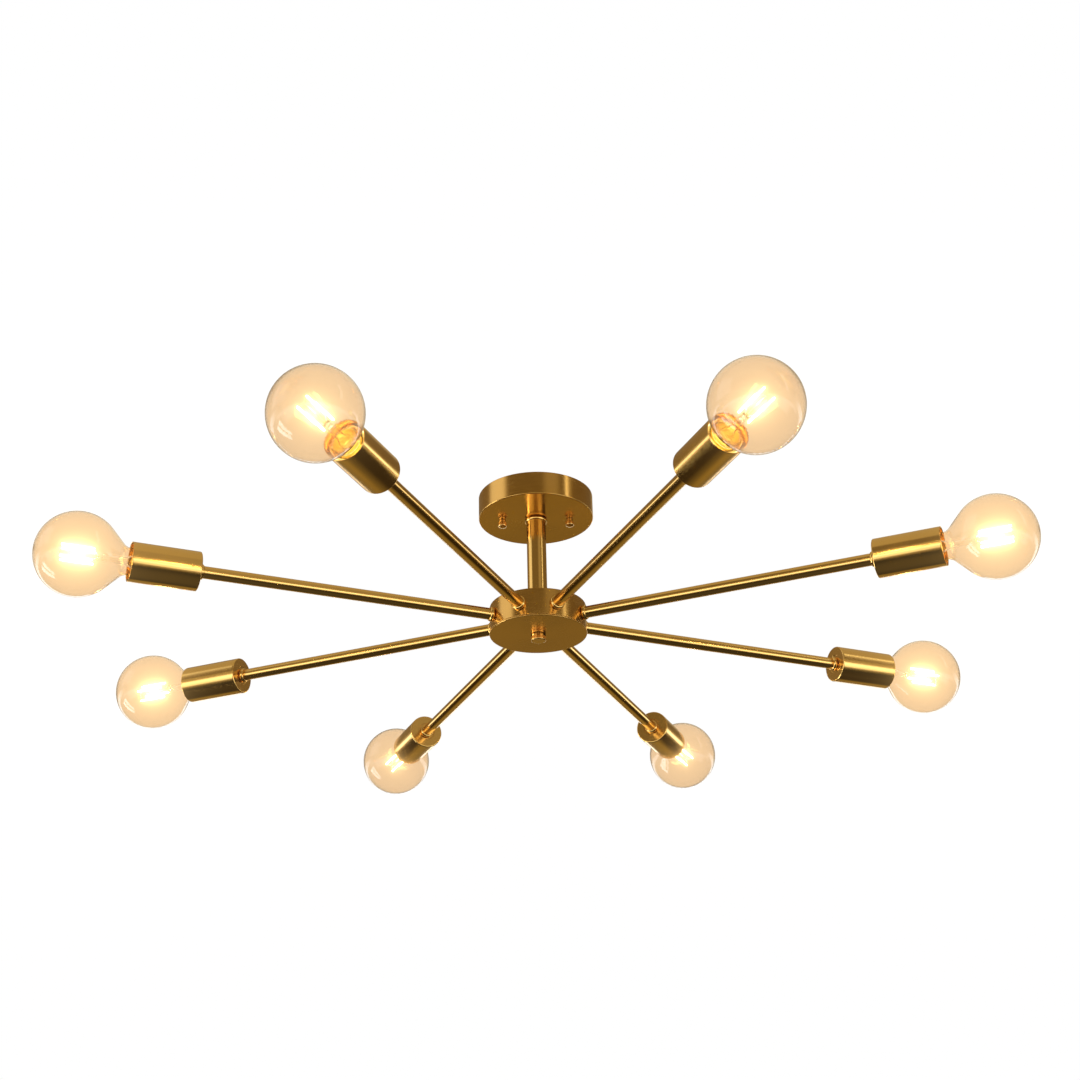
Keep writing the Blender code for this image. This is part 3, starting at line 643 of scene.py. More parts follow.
def stud_piece(settings):
    """Model a threaded stud on the axis."""
    low, high = heights("mounting_stud_left")
    pitch = 0.7 * MM
    piece = turned("stud", threaded_side(settings.stud_diameter / 2, low, high, pitch), 20,
                   ring=False)
    roll_thread(piece, low + THREAD_TIP, high - THREAD_TIP, pitch, 0.35 * MM)
    return piece


def cap_nut_piece(settings):
    """Model a fluted cap nut on the axis."""
    low, high = heights("canopy_nut_left")
    radius = half_width("canopy_nut_left")
    collar = 0.7 * radius
    chamfer = 0.2 * MM
    edge = 0.4 * MM
    dome = 2 * MM
    bore = stud_hole(settings)
    body_top = high - 3 * MM
    outline = [(NEEDLE, low + dome), (bore, low + dome), (bore, high), (collar - chamfer, high),
               (collar, high - chamfer), (collar, body_top + 0.5 * MM)]
    outline += arc((radius - edge, body_top - edge), edge, 90, 0, 4)
    outline += [(radius * math.cos(a), low + dome * (1 - math.sin(a)))
                for a in (math.radians(10 * i) for i in range(9))]
    piece = turned("cap_nut", outline, 56, ring=False)
    return flute(piece, low + dome + 0.3 * MM, body_top - 0.6 * MM, 0.08 * MM, 0.16 * MM)


def nipple_piece(name, node_name, settings):
    """Model a hollow threaded nipple."""
    low, high = heights(node_name)
    bore = settings.nipple_bore / 2
    pitch = 1 * MM
    side = threaded_side(settings.nipple_diameter / 2, low, high, pitch)
    piece = turned(name, [(bore, low)] + side + [(bore, high)], 36)
    roll_thread(piece, low + THREAD_TIP, high - THREAD_TIP, pitch, 0.4 * MM,
                bore + 2 * THREAD_TIP)
    return piece


def locknut_piece(name, node_name, settings):
    """Model a hexagonal nut with rounded corners."""
    low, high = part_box(node_name)
    piece = added(bpy.ops.mesh.primitive_cylinder_add, vertices=6, radius=max(high.x, high.y),
                  depth=high.z - low.z, location=(0, 0, (low.z + high.z) / 2))
    if high.x > high.y:
        piece.rotation_euler.z = math.radians(30)
    closed_up(piece, name)
    cut(piece, tool(nipple_hole(settings), 4 * (high.z - low.z), at(z=low.z)))
    return bevelled(piece, 0.35 * MM, 3, 25)


class CEILINGLIGHT_OT_canopy(bpy.types.Operator):
    """Model the canopy with its strap, studs, cap nuts, nipple and nut"""
    bl_idname = "ceilinglight.canopy"
    bl_label = "Canopy and fixing"

    def execute(self, context):
        """Add the pieces against the ceiling."""
        tones = context.scene.light_brass
        settings = context.scene.light_hardware
        brushed = brass("brushed_finish", tones.brushed, tones.brushed_roughness, 0.06,
                        anisotropy=0.5)
        zinc = steel("zinc", (0.62, 0.63, 0.64))
        polished = brass("polished_finish", tones.polished, 0.16, 0.03)
        finished(canopy_piece(settings), brushed, nodes=["canopy"])
        finished(crossbar_piece(settings), zinc, nodes=["crossbar"])
        stud = stud_piece(settings)
        nut = cap_nut_piece(settings)
        for side in ("left", "right"):
            place = at(middle("mounting_stud_" + side).x)
            for pattern, word, material, slot in ((stud, "mounting_stud_", zinc, "zinc_steel"),
                                                  (nut, "canopy_nut_", polished, "polished_brass")):
                piece = copied(pattern, "visual_" + word + side, place)
                finished(piece, material, nodes=[word + side])
        bpy.data.objects.remove(stud)
        bpy.data.objects.remove(nut)
        finished(nipple_piece("threaded_nipple_top", "canopy_nipple", settings), zinc,
                 nodes=["canopy_nipple"])
        finished(locknut_piece("hex_nut_top", "canopy_locknut", settings), zinc,
                 nodes=["canopy_locknut"])
        return {"FINISHED"}


# Stem and hub

def stem_piece(settings):
    """Model the stem tube with the bead at its top."""
    low, high = heights("stem")
    radius = settings.stem_diameter / 2
    hole = nipple_hole(settings)
    edge = 0.3 * MM
    outline = [(hole, low)] + arc((radius - edge, low + edge), edge, -90, 0, 3)
    outline += swell(radius, half_width("stem"), high - settings.bead_length, high)
    return turned("stem_tube", outline + [(hole, high)], 72)


def hub_piece(settings):
    """Model the drum, open below, with a hole for each arm."""
    low, high = heights("hub_shell")
    radius = half_width("hub_shell")
    wall = 5.5 * MM
    top = 2 * MM
    edge = settings.edge
    low_edge = 0.3 * MM
    hole = nipple_hole(settings)
    outline = [(hole, high - top), (hole, high)] + arc((radius - edge, high - edge), edge, 90, 0)
    outline += arc((radius - low_edge, low + low_edge), low_edge, 0, -90, 3)
    outline += [(radius - wall, low), (radius - wall, high - top)]
    piece = turned("hub_drum", outline, 144)
    return cut(piece, *(tool(SPIGOT + CLEARANCE, 4 * wall, along_arm(axis, radius), 32)
                        for axis in ARM_AXES))


def cover_piece(settings):
    """Model the plate that closes the hub from below."""
    low, high = heights("hub_cover")
    radius = half_width("hub_cover")
    edge = 0.6 * MM
    hole = nipple_hole(settings)
    outline = [(hole, high)] + arc((radius - edge, high - edge), edge, 90, 0, 4)
    outline += arc((radius - edge, low + edge), edge, 0, -90, 5) + [(hole, low)]
    return turned("hub_plate", outline, 144)


def finial_piece(settings):
    """Model the turned knob under the hub."""
    low, high = heights("finial")
    radius = half_width("finial")
    edge = 1 * MM
    top_edge = 0.4 * MM
    bore = nipple_hole(settings)
    bore_end = high - 5.5 * MM
    groove = 0.35 * MM
    neck = high - 2 * MM
    outline = [(NEEDLE, bore_end), (bore, bore_end), (bore, high)]
    outline += arc((radius - top_edge, high - top_edge), top_edge, 90, 0, 4)
    outline += [(radius, neck + groove), (radius - groove, neck), (radius, neck - groove)]
    outline += arc((radius - edge, low + edge), edge, 0, -90, 6)
    outline += [(0.35 * radius, low), (0.2 * radius, low + 0.2 * MM), (NEEDLE, low + 0.25 * MM)]
    piece = turned("finial_knob", outline, 72, ring=False)
    return flute(piece, low + edge + 0.3 * MM, neck - groove - 0.3 * MM, 0.1 * MM, 0.2 * MM)


class CEILINGLIGHT_OT_hub(bpy.types.Operator):
    """Model the stem, the hub drum, its cover plate and the finial"""
    bl_idname = "ceilinglight.hub"
    bl_label = "Stem and hub"

    def execute(self, context):
        """Add the pieces on the light's centre line."""
        tones = context.scene.light_brass
        settings = context.scene.light_hardware
        satin = brass("stem_brass", tones.satin, tones.satin_roughness, 0.04, drawn=True)
        brushed, polished, zinc = (bpy.data.materials[name]
                                   for name in ("brushed_finish", "polished_finish", "zinc"))
        level = at(z=ARM_HEIGHT) @ Matrix.Rotation(math.pi / 2, 4, "Y")
        for piece, material, slot, replaced in (
                (stem_piece(settings), satin, "satin_brass", "stem"),
                (hub_piece(settings), brushed, "brushed_brass", "hub_shell"),
                (cover_piece(settings), brushed, "brushed_brass", "hub_cover"),
                (finial_piece(settings), polished, "polished_brass", "finial"),
                (cut(nipple_piece("threaded_nipple_hub", "hub_nipple", settings),
                     tool(settings.nipple_bore / 2, 3 * settings.nipple_diameter, level)),
                 zinc, "zinc_steel", "hub_nipple"),
                (locknut_piece("hex_nut_hub", "hub_locknut", settings), zinc, "zinc_steel",
                 "hub_locknut")):
            finished(piece, material, nodes=[replaced])
        return {"FINISHED"}


# Arms

def arm_pattern(settings):
    """Model an arm tube with a bead and a threaded spigot at each end."""
    inner_end, outer_end = reach("arm_1")
    seat = reach("hub_shell")[1] + CLEARANCE
    shoulder = reach("socket_cup_1")[0] - CLEARANCE
    tube = settings.arm_diameter / 2
    bead = settings.bead_diameter / 2
    bore = 4 * MM
    length = settings.bead_length
    outline = [(bore, inner_end), (SPIGOT, inner_end), (SPIGOT, seat)]
    outline += swell(tube, bead, seat, seat + length)
    outline += swell(tube, bead, shoulder - length, shoulder)
    outline += [(SPIGOT, shoulder), (SPIGOT, outer_end), (bore, outer_end)]
    return turned("arm_pattern", outline, 48)


def cup_pattern():
    """Model a socket cup with a rounded back edge and a stepped back."""
    back, mouth = reach("socket_cup_1")
    radius = half_height("socket_cup_1")
    edge = 1.2 * MM
    step = 0.35 * MM
    hole = SPIGOT + CLEARANCE
    outline = [(hole, back + SHEET), (hole, back + step), (0.5 * radius, back + step),
               (0.5 * radius + step, back)]
    outline += arc((radius - edge, back + edge), edge, -90, 0)
    outline += arc((radius - SHEET / 2, mouth - SHEET / 2), SHEET / 2, 0, 180)
    outline += arc((radius - SHEET - step, back + SHEET + step), step, 0, -90, 3)
    return turned("cup_pattern", outline, 96)


class CEILINGLIGHT_OT_arms(bpy.types.Operator):
    """Model the eight arms and their socket cups"""
    bl_idname = "ceilinglight.arms"
    bl_label = "Arms and cups"

    def execute(self, context):
        """Lay an arm and a cup along every arm's line."""
        tones = context.scene.light_brass
        drawn = brass("arm_brass", tones.satin, tones.satin_roughness, 0.04, drawn=True)
        spun = brass("cup_brass", tones.satin, tones.satin_roughness, 0.05)
        on_every_arm(arm_pattern(context.scene.light_hardware), "arm_tube_{}", drawn,
                     node="arm_{}")
        on_every_arm(cup_pattern(), "cup_{}", spun, node="socket_cup_{}")
        return {"FINISHED"}


# Lampholders

def holder_pattern(settings):
    """Model a glazed lampholder body."""
    back, rim = reach("lampholder_1")
    radius = half_height("lampholder_1")
    bore = radius - 3 * MM
    edge = 0.6 * MM
    seat = rim - settings.socket_depth
    floor = seat - 6 * MM
    hole = SPIGOT + CLEARANCE
    outline = [(hole / 2, seat), (hole / 2, floor), (hole, floor), (hole, back)]
    outline += arc((radius - edge, back + edge), edge, -90, 0, 4)
    outline += arc((radius - edge, rim - edge), edge, 0, 90, 4)
    outline += [(bore + edge / 2, rim), (bore, rim - edge / 2), (bore, seat)]
    return turned("holder_pattern", outline, 64)


def shell_pattern(settings, bulb):
    """Model a lampholder's rolled screw shell, with its flange and centre contact."""
    rim = reach("lampholder_1")[1]
    seat = rim - settings.socket_depth
    outer = bulb.cap_diameter / 2 + 0.55 * MM
    inner = outer - 0.12 * MM
    flange = outer + 1.9 * MM
    face = rim + 0.25 * MM
    under = rim + 0.05 * MM
    step = bulb.thread_pitch / 8
    start = seat + 0.5 * MM
    outline = straight(inner, start, face - 0.2 * MM, step)
    outline += [(outer + 0.1 * MM, face), (flange, face), (flange, under),
                (outer + 0.2 * MM, under)]
    outline += straight(outer, rim - 0.1 * MM, start, step)
    piece = turned("shell_pattern", outline, 48)
    roll_thread(piece, start, rim - 1 * MM, bulb.thread_pitch, 0.3 * MM)
    contact = 4 * MM
    outline = [(NEEDLE, seat + 0.02 * MM), (contact, seat + 0.02 * MM),
               (contact, seat + 0.15 * MM), (NEEDLE, seat + 0.2 * MM)]
    return joined([piece, turned("contact", outline, 24, ring=False)], "shell_pattern")


class CEILINGLIGHT_OT_lampholders(bpy.types.Operator):
    """Model the lampholders with their screw shells"""
    bl_idname = "ceilinglight.lampholders"
    bl_label = "Lampholders"

    def execute(self, context):
        """Put a lampholder in every cup."""
        settings = context.scene.light_hardware
        porcelain = moulded("holder_porcelain", (0.86, 0.83, 0.76), 0.2, coat=0.6)
        shell = brass("shell_brass", context.scene.light_brass.lamp, 0.32, 0.04)
        on_every_arm(holder_pattern(settings), "holder_{}", porcelain,
                     node="lampholder_{}")
        on_every_arm(shell_pattern(settings, context.scene.light_bulb), "screw_shell_{}", shell)
        return {"FINISHED"}


# Bulbs

def globe_centre():
    """Return how far the globes' centres lie from the centre line, and their radius."""
    radius = half_height("bulb_glass_1")
    return reach("bulb_glass_1")[1] - radius, radius


def neck_outline(globe, neck, fillet, centre):
    """Return a globe's outline from its top down its cone and round into its neck."""
    turns = [math.radians(135 * i / 44) for i in range(1, 45)]
    outline = [(globe * math.sin(a), centre + globe * math.cos(a)) for a in turns]
    corner = centre - (globe * math.sqrt(2) - neck)
    bend = corner - fillet * math.tan(math.radians(22.5))
    return outline + arc((neck + fillet, bend), fillet, 135, 180, 8)


def glass_pattern(bulb):
    """Model a bulb's blown glass shell."""
    centre, globe = globe_centre()
    end = reach("bulb_glass_1")[0]
    neck = bulb.cap_diameter / 2
    outer = neck_outline(globe, neck, bulb.neck_fillet, centre)
    inner = neck_outline(globe - bulb.wall, neck - bulb.wall, bulb.neck_fillet + bulb.wall, centre)
    ends = [(neck, end), (neck - bulb.wall, end)]
    return turned("glass_pattern", outer + ends + inner[::-1], 96, ring=False)


def cap_pattern(bulb):
    """Model a bulb's rolled screw cap, a shell whose floor leaves room for the contact."""
    top = reach("bulb_glass_1")[0] - CLEARANCE
    bottom = top - bulb.cap_length
    radius = bulb.cap_diameter / 2 - 0.05 * MM
    foot = 9.4 * MM
    opening = 2 * MM
    curve = 1.6 * MM
    floor_top = bottom + 0.9 * MM
    step = bulb.thread_pitch / 10
    shoulder = bottom + curve
    skirt = top - 4.5 * MM
    outline = straight(radius, top, skirt, step) + straight(radius, skirt - step, shoulder, step)
    outline += arc((radius - curve, shoulder), curve, -15, -75, 4)
    outline += [(foot, bottom - 0.9 * MM), (foot, bottom + 0.4 * MM),
                (opening, bottom + 0.6 * MM), (opening, floor_top), (radius - 2.2 * MM, floor_top)]
    outline += straight(radius - 0.3 * MM, shoulder, top, step)
    piece = turned("cap_pattern", outline, 56)
    roll_thread(piece, bottom + 0.8 * MM, skirt, bulb.thread_pitch, 0.9 * MM)
    return piece


def insulator_pattern():
    """Model the black glass between a bulb's cap and its centre contact."""
    tip = reach("bulb_core_1")[0]
    sizes = ((3.5, 5.2), (9.3, 5.2), (9.6, 3.7), (8.2, 2.9), (5.4, 1.6), (3.5, 1.4))
    outline = [(radius * MM, tip + height * MM) for radius, height in sizes]
    return turned("insulator_pattern", outline, 48, ring=False)


def contact_pattern():
    """Model a bulb's centre contact with its drop of solder."""
    tip = reach("bulb_core_1")[0]
    sizes = ((1, 1.3), (4.4, 1.3), (4.4, 0.9))
    outline = [(radius * MM, tip + height * MM) for radius, height in sizes]
    outline += [(4.2 * MM * math.cos(a), tip + 0.8 * MM * (1 - math.sin(a)))
                for a in (math.radians(12 * i) for i in range(8))]
    return turned("contact_pattern", outline, 32, ring=False)


def mount_pattern(bulb):
    """Model the glass flare and stem that carry the filaments."""
    neck = reach("bulb_glass_1")[0]
    foot = globe_centre()[0] - bulb.filament_length / 2 - 2 * MM
    base = 6.5 * MM
    flare = 15 * MM
    wall = 0.8 * MM
    stem = 3.4 * MM
    edge = 1 * MM
    needle = 0.3 * MM
    steps = 14
    sides = []
    for i in range(steps + 1):
        share = i / steps
        sides.append((stem + (base - stem) * (1 - math.sin(share * math.pi / 2)) ** 1.5,
                      neck + 0.5 * MM + flare * share))
    inner = [(needle, foot - 4 * MM), (stem - wall, foot - 5 * MM)]
    inner += [(r - wall, z) for r, z in reversed(sides)]
    outer = sides + arc((stem - edge, foot - edge), edge, 0, 80, 5) + [(needle, foot)]
    return turned("mount_pattern", inner + outer, 40, ring=False)


def filament_places(bulb):
    """Return where the filaments stand round a bulb's axis."""
    turns = [math.tau * i / bulb.filaments for i in range(bulb.filaments)]
    return [bulb.filament_circle * Vector((math.cos(a), math.sin(a), 0)) for a in turns]


def filament_pattern(bulb):
    """Model the coated filament rods."""
    centre = globe_centre()[0]
    half = bulb.filament_length / 2 - 1.5 * MM
    radius = 0.95 * MM
    outline = [(radius * math.cos(a), centre - half - radius * math.sin(a))
               for a in map(math.radians, (80, 60, 40, 20, 0))]
    outline += [(r, 2 * centre - z) for r, z in reversed(outline)]
    rod = turned("rod", outline, 16, ring=False)
    rods = [copied(rod, "rod_copy", Matrix.Translation(place)) for place in filament_places(bulb)]
    bpy.data.objects.remove(rod)
    return joined(rods, "filament_pattern")


def support_pattern(bulb):
    """Model the wires that hold the filaments."""
    centre = globe_centre()[0]
    half = bulb.filament_length / 2
    low = Vector((0, 0, centre - half))
    high = Vector((0, 0, centre + half))
    up = Vector((0, 0, 1 * MM))
    routes = []
    for place in filament_places(bulb):
        routes.append([low - 3 * up + 0.2 * place, low + 0.5 * place, low + 0.95 * place,
                       low + place + 2.2 * up])
        routes.append([high, high + 0.6 * place, high + 0.95 * place, high + place - 2.2 * up])
    routes.append([low - 4 * up, low, high, high + 1.2 * up])
    return wire("support_pattern", routes, 0.3 * MM)


class CEILINGLIGHT_OT_bulbs(bpy.types.Operator):
    """Model the globe bulbs: glass, screw cap, contact, mount, wires and filaments"""
    bl_idname = "ceilinglight.bulbs"
    bl_label = "Globe bulbs"

    def execute(self, context):
        """Put a bulb in every lampholder."""
        bulb = context.scene.light_bulb
        amber = clear_glass("globe_glass", bulb.glass)
        cap = brass("cap_brass", context.scene.light_brass.lamp, 0.4, 0.03)
        black = moulded("black_glass", (0.02, 0.02, 0.025), 0.15)
        solder = steel("solder", (0.7, 0.7, 0.68))
        mount = clear_glass("mount_glass", (0.98, 0.97, 0.95))
        support = steel("support_wire", (0.75, 0.72, 0.66))
        lit = glowing("lit_filament", bulb.glow, bulb.glow_strength)
        base = "bulb_{}_base"
        globes = on_every_arm(glass_pattern(bulb), "globe_{}", amber, "bulb_{}",
                              "bulb_glass_{}")
        on_every_arm(cap_pattern(bulb), "screw_cap_{}", cap, base, "bulb_core_{}")
        on_every_arm(insulator_pattern(), "cap_insulator_{}", black, base)
        on_every_arm(contact_pattern(), "cap_contact_{}", solder, base)
        mounts = on_every_arm(mount_pattern(bulb), "glass_mount_{}", mount, base)
        on_every_arm(support_pattern(bulb), "filament_wires_{}", support, base)
        rods = on_every_arm(filament_pattern(bulb), "filaments_{}", lit, base)
        for piece in globes + mounts:
            piece.visible_shadow = False
        for piece in rods:
            piece.visible_glossy = False
        return {"FINISHED"}


# Wiring

def harness_piece(name, node_name, side, settings):
    """Model one conductor: its lead up the stem, its ring in the hub and its arm wires."""
    low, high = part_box(node_name)
    radius = settings.wire_diameter / 2
    ring = 1.4 * MM
    level = low.z + ring
    top = high.z - radius
    connector = middle("live_connector" if side > 0 else "neutral_connector").x
    end = reach(node_name)[1]
    y = side * WIRE_OFFSET
    near, far = side * WIRE_BEND, side * 2 * WIRE_BEND
    riser = [(connector, y, top), (far, y, top), (near, y, top), (0, y, top),
             (0, y, top - WIRE_BEND), (0, y, top - 2 * WIRE_BEND), (0, y, level + 2 * WIRE_BEND),
             (0, y, level + WIRE_BEND), (0, y, level), (near, y, level), (far, y, level),
             (side * WIRE_RING, y, level)]
    routes = [riser]
    for axis in ARM_AXES:
        start = axis * WIRE_RING + Vector((0, 0, level))
        finish = axis * end + Vector((0, 0, level))
        routes.append([start, start.lerp(finish, 0.5), finish])
    leads = wire(name, routes, radius)
    gathered = turned(name + "_ring", arc((WIRE_RING, level), ring, 0, 324, 9), 64)
    return joined([leads, gathered], name)


def connector_pattern(settings):
    """Model a fluted twist-on connector, open at the bottom."""
    length = 17 * MM
    radius = half_width("live_connector")
    bore = settings.wire_diameter / 2 + CLEARANCE
    depth = 8.6 * MM
    edge = 0.5 * MM
    tip = 0.72 * radius
    tip_edge = 1.3 * MM
    shoulder = length - 1.5 * MM
    outline = [(NEEDLE, depth), (bore, depth), (bore, 0)]
    outline += arc((radius - edge, edge), edge, -90, 0, 4)
    outline += [(radius, 0.29 * length), (radius - 0.4 * MM, 0.31 * length), (tip, shoulder)]
    outline += arc((tip - tip_edge, shoulder), tip_edge, 15, 90, 5)
    outline += [(NEEDLE, length)]
    piece = turned("connector_pattern", outline, 36, ring=False)
    return flute(piece, 0.35 * length, length - 2 * MM, 0.12 * MM, 0.25 * MM)


def ground_screw_piece():
    """Model the earth screw with its slotted, domed head."""
    low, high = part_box("ground_screw")
    centre = (low + high) / 2
    head = half_width("ground_screw")
    head_top = low.z + 2.3 * MM
    chamfer = 0.1 * MM
    outline = [(0.4 * MM, low.z)]
    outline += [(head * math.sin(a), low.z + 1.2 * MM * (1 - math.cos(a)))
                for a in (math.radians(9 * i) for i in range(3, 11))]
    outline += [(head, head_top - chamfer), (head - chamfer, head_top), (EARTH_SHANK, head_top)]
    outline += straight(EARTH_SHANK, head_top + 0.2 * MM, high.z - 0.3 * MM, 0.12 * MM)
    outline += [(EARTH_SHANK - 0.3 * MM, high.z)]
    piece = turned("earth_screw", outline, 36, ring=False)
    roll_thread(piece, head_top + 0.3 * MM, high.z, 0.7 * MM, 0.3 * MM)
    slot = added(bpy.ops.mesh.primitive_cube_add, size=1, location=(0, 0, low.z))
    slot.scale = (1.1 * MM, 3 * head, 1.8 * MM)
    cut(piece, slot)
    piece.location = (centre.x, centre.y, 0)
    return settled(piece)


def repaint(node_name, material):
    """Give a CAD node that stays a material of the light's own."""
    piece = frame["nodes"][node_name]
    piece.data.materials.clear()
    piece.data.materials.append(material)


class CEILINGLIGHT_OT_wiring(bpy.types.Operator):
    """Model the leads, their connectors and the earth screw"""
    bl_idname = "ceilinglight.wiring"
    bl_label = "Wiring"

    def execute(self, context):
        """Add the wiring inside the canopy, the stem and the arms."""
        settings = context.scene.light_hardware
        black, white, green = (
            moulded(name, tone, 0.35, scale=250)
            for name, tone in (("black_lead", (0.03, 0.03, 0.03)),
                               ("white_lead", (0.85, 0.85, 0.82)),
                               ("green_lead", (0.08, 0.36, 0.11))))
        plastic = moulded("twist_cap_plastic", (0.75, 0.2, 0.04), 0.4)
        dyed = steel("earth_screw_green", (0.08, 0.32, 0.12))
        for word, side, material, slot in (("live", 1, black, "black_wire"),
                                           ("neutral", -1, white, "white_wire")):
            finished(harness_piece(word + "_leads", word + "_harness", side, settings), material,
                     nodes=[word + "_harness"])
        pattern = connector_pattern(settings)
        for word, side in (("live", 1), ("neutral", -1)):
            low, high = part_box(word + "_connector")
            place = at(low.x if side > 0 else high.x, *((low + high) / 2).yz)
            place = place @ Matrix.Rotation(side * math.pi / 2, 4, "Y")
            finished(copied(pattern, word + "_twist_cap", place), plastic,
                     nodes=[word + "_connector"])
        bpy.data.objects.remove(pattern)
        finished(ground_screw_piece(), dyed, nodes=["ground_screw"])
        repaint("ground_lead", green)
        return {"FINISHED"}


# Stage

# Brightness and warmth of the room by height, from straight down (0) to straight up (1)
ROOM_FRONT = ((0.0, 0.07, 1), (0.17, 0.02, 1), (0.25, 0.25, 1), (0.31, 1.6, 0.1), (0.44, 2.2, 0),
              (0.50, 0.6, 1), (0.56, 0.45, 1), (1.0, 0.45, 1))
ROOM_BACK = ((0.0, 0.07, 1), (0.15, 0.03, 1), (0.24, 0.29, 1.6), (0.40, 0.22, 1.4),
             (0.48, 0.3, 0.8), (0.51, 2.2, 0), (0.56, 2.0, 0), (0.60, 0.4, 1), (1.0, 0.45, 1))
# Bands of the room: lowest and highest Z and a soft edge, then the band's panels, each with its
# bearing, half its width and its soft edge in degrees, its share and its tone
ROOM_BANDS = (
    ((0.25, 0.72, 0.05), ((0, 61, 4, 0.9, (0.15, 0.105, 0.045)),
                          (115, 39, 6, 0.9, (0.15, 0.10, 0.045)),
                          (-145, 40, 6, 0.9, (0.20, 0.14, 0.07)),
                          (-84, 20, 6, 0.95, (1.05, 1.0, 0.95)),
                          (33, 15, 8, 0.6, (0.5, 0.42, 0.28)),
                          (66, 3, 1.5, 0.9, (1.8, 1.7, 1.5)))),
    ((-0.85, -0.12, 0.08), ((-115, 38, 12, 1, (0.03, 0.018, 0.004)),
                            (115, 38, 12, 1, (0.03, 0.018, 0.004)))),
    ((-0.62, -0.2, 0.06), ((0, 28, 8, 1, (0.3, 0.22, 0.11)),)),
    ((-0.7, -0.2, 0.03), ((-107, 5, 1.5, 1, (6, 6, 6)), (-94, 5, 1.5, 1, (6, 6, 6)))),
)


def ramp(tree, value, stops):
    """Add a colour ramp of (place, brightness, warmth) stops and return its colour."""
    made = node(tree, "ShaderNodeValToRGB", {"Fac": value})
    made.color_ramp.interpolation = "EASE"
    elements = made.color_ramp.elements
    while len(elements) < len(stops):
        elements.new(0.5)
    for element, (place, level, warmth) in zip(elements, stops):
        element.position = place
        element.color = (level, level * (1 - 0.18 * warmth), level * (1 - 0.5 * warmth), 1)
    return made.outputs["Color"]


def between(tree, value, low, high, soft):
    """Return 1 between two values, fading to 0 over a soft edge."""
    edges = ((low - soft, low + soft), (high + soft, high - soft))
    return maths(tree, "MULTIPLY",
                 *(mapped(tree, value, a, b, kind="SMOOTHSTEP") for a, b in edges))


def light_room(world, settings):
    """Light the room as a pale studio with soft panels, white where it is seen directly."""
    world.use_nodes = True
    tree = world.node_tree
    tree.nodes.clear()
    direction = node(tree, "ShaderNodeTexCoord").outputs["Generated"]
    x, y, z = node(tree, "ShaderNodeSeparateXYZ", {0: direction}).outputs
    lift = maths(tree, "MULTIPLY_ADD", z, 0.5, 0.5)
    room = mixed(tree, mapped(tree, y, -0.1, 0.4, kind="SMOOTHSTEP"),
                 ramp(tree, lift, ROOM_FRONT), ramp(tree, lift, ROOM_BACK))
    bearing = maths(tree, "ARCTAN2", x, maths(tree, "MULTIPLY", y, -1.0))
    for edges, panels in ROOM_BANDS:
        band = between(tree, z, *edges)
        for centre, half, soft, share, tone in panels:
            mask = between(tree, bearing, *map(math.radians, (centre - half, centre + half, soft)))
            strength = maths(tree, "MULTIPLY", maths(tree, "MULTIPLY", mask, band), share)
            room = mixed(tree, strength, room, (*tone, 1))
    light_path = node(tree, "ShaderNodeLightPath").outputs
    seen = maths(tree, "MAXIMUM", light_path["Is Camera Ray"], light_path["Is Transmission Ray"])
    seen = maths(tree, "MAXIMUM", seen, light_path["Is Diffuse Ray"])
    white = (*[settings.background] * 3, 1)
    surface = node(tree, "ShaderNodeBackground", {"Color": mixed(tree, seen, room, white)})
    node(tree, "ShaderNodeOutputWorld", {"Surface": surface.outputs[0]})


def pale_floor(settings):
    """Lay a plain pale floor with soft mottling."""
    floor = added(bpy.ops.mesh.primitive_plane_add, size=400,
                  location=(0, 0, -settings.floor_drop))
    floor.name = "pale_floor"
    material, tree, shader = blank("pale_floor", {})
    place = object_place(tree)
    surfaced(shader, (0.88, 0.87, 0.85), 0.01, noise(tree, place, 2),
             spread(tree, noise(tree, place, 5), 0.75, 0.85))
    floor.data.materials.append(material)
    floor.visible_glossy = False
    floor.visible_transmission = False


def bulb_lights(bulb):
    """Put a small warm lamp at the middle of each bulb's filaments."""
    for number, axis in enumerate(ARM_AXES, 1):
        lamp = added(bpy.ops.object.light_add, type="POINT",
                     location=along_arm(axis, globe_centre()[0]).translation)
        lamp.name = f"bulb_light_{number}"
        lamp.data.energy = bulb.lamp_power
        lamp.data.color = bulb.glow
        lamp.data.shadow_soft_size = bulb.filament_circle
        lamp.visible_camera = False
        lamp.visible_transmission = False


def bloom(scene, settings):
    """Let the lit filaments bloom as they do in a lens."""
    scene.use_nodes = True
    tree = scene.node_tree
    tree.nodes.clear()
    picture = node(tree, "CompositorNodeRLayers").outputs["Image"]
    glare = node(tree, "CompositorNodeGlare",
                 {"Image": picture, "Threshold": settings.bloom_threshold,
                  "Size": settings.bloom_size}, glare_type="BLOOM", quality="HIGH")
    stronger = node(tree, "CompositorNodeMixRGB",
                    {1: glare.outputs["Glare"], 2: (*[settings.bloom] * 3, 1)},
                    blend_type="MULTIPLY")
    both = node(tree, "CompositorNodeMixRGB", {1: picture, 2: stronger.outputs["Image"]},
                blend_type="ADD")
    node(tree, "CompositorNodeComposite", {"Image": both.outputs["Image"]})


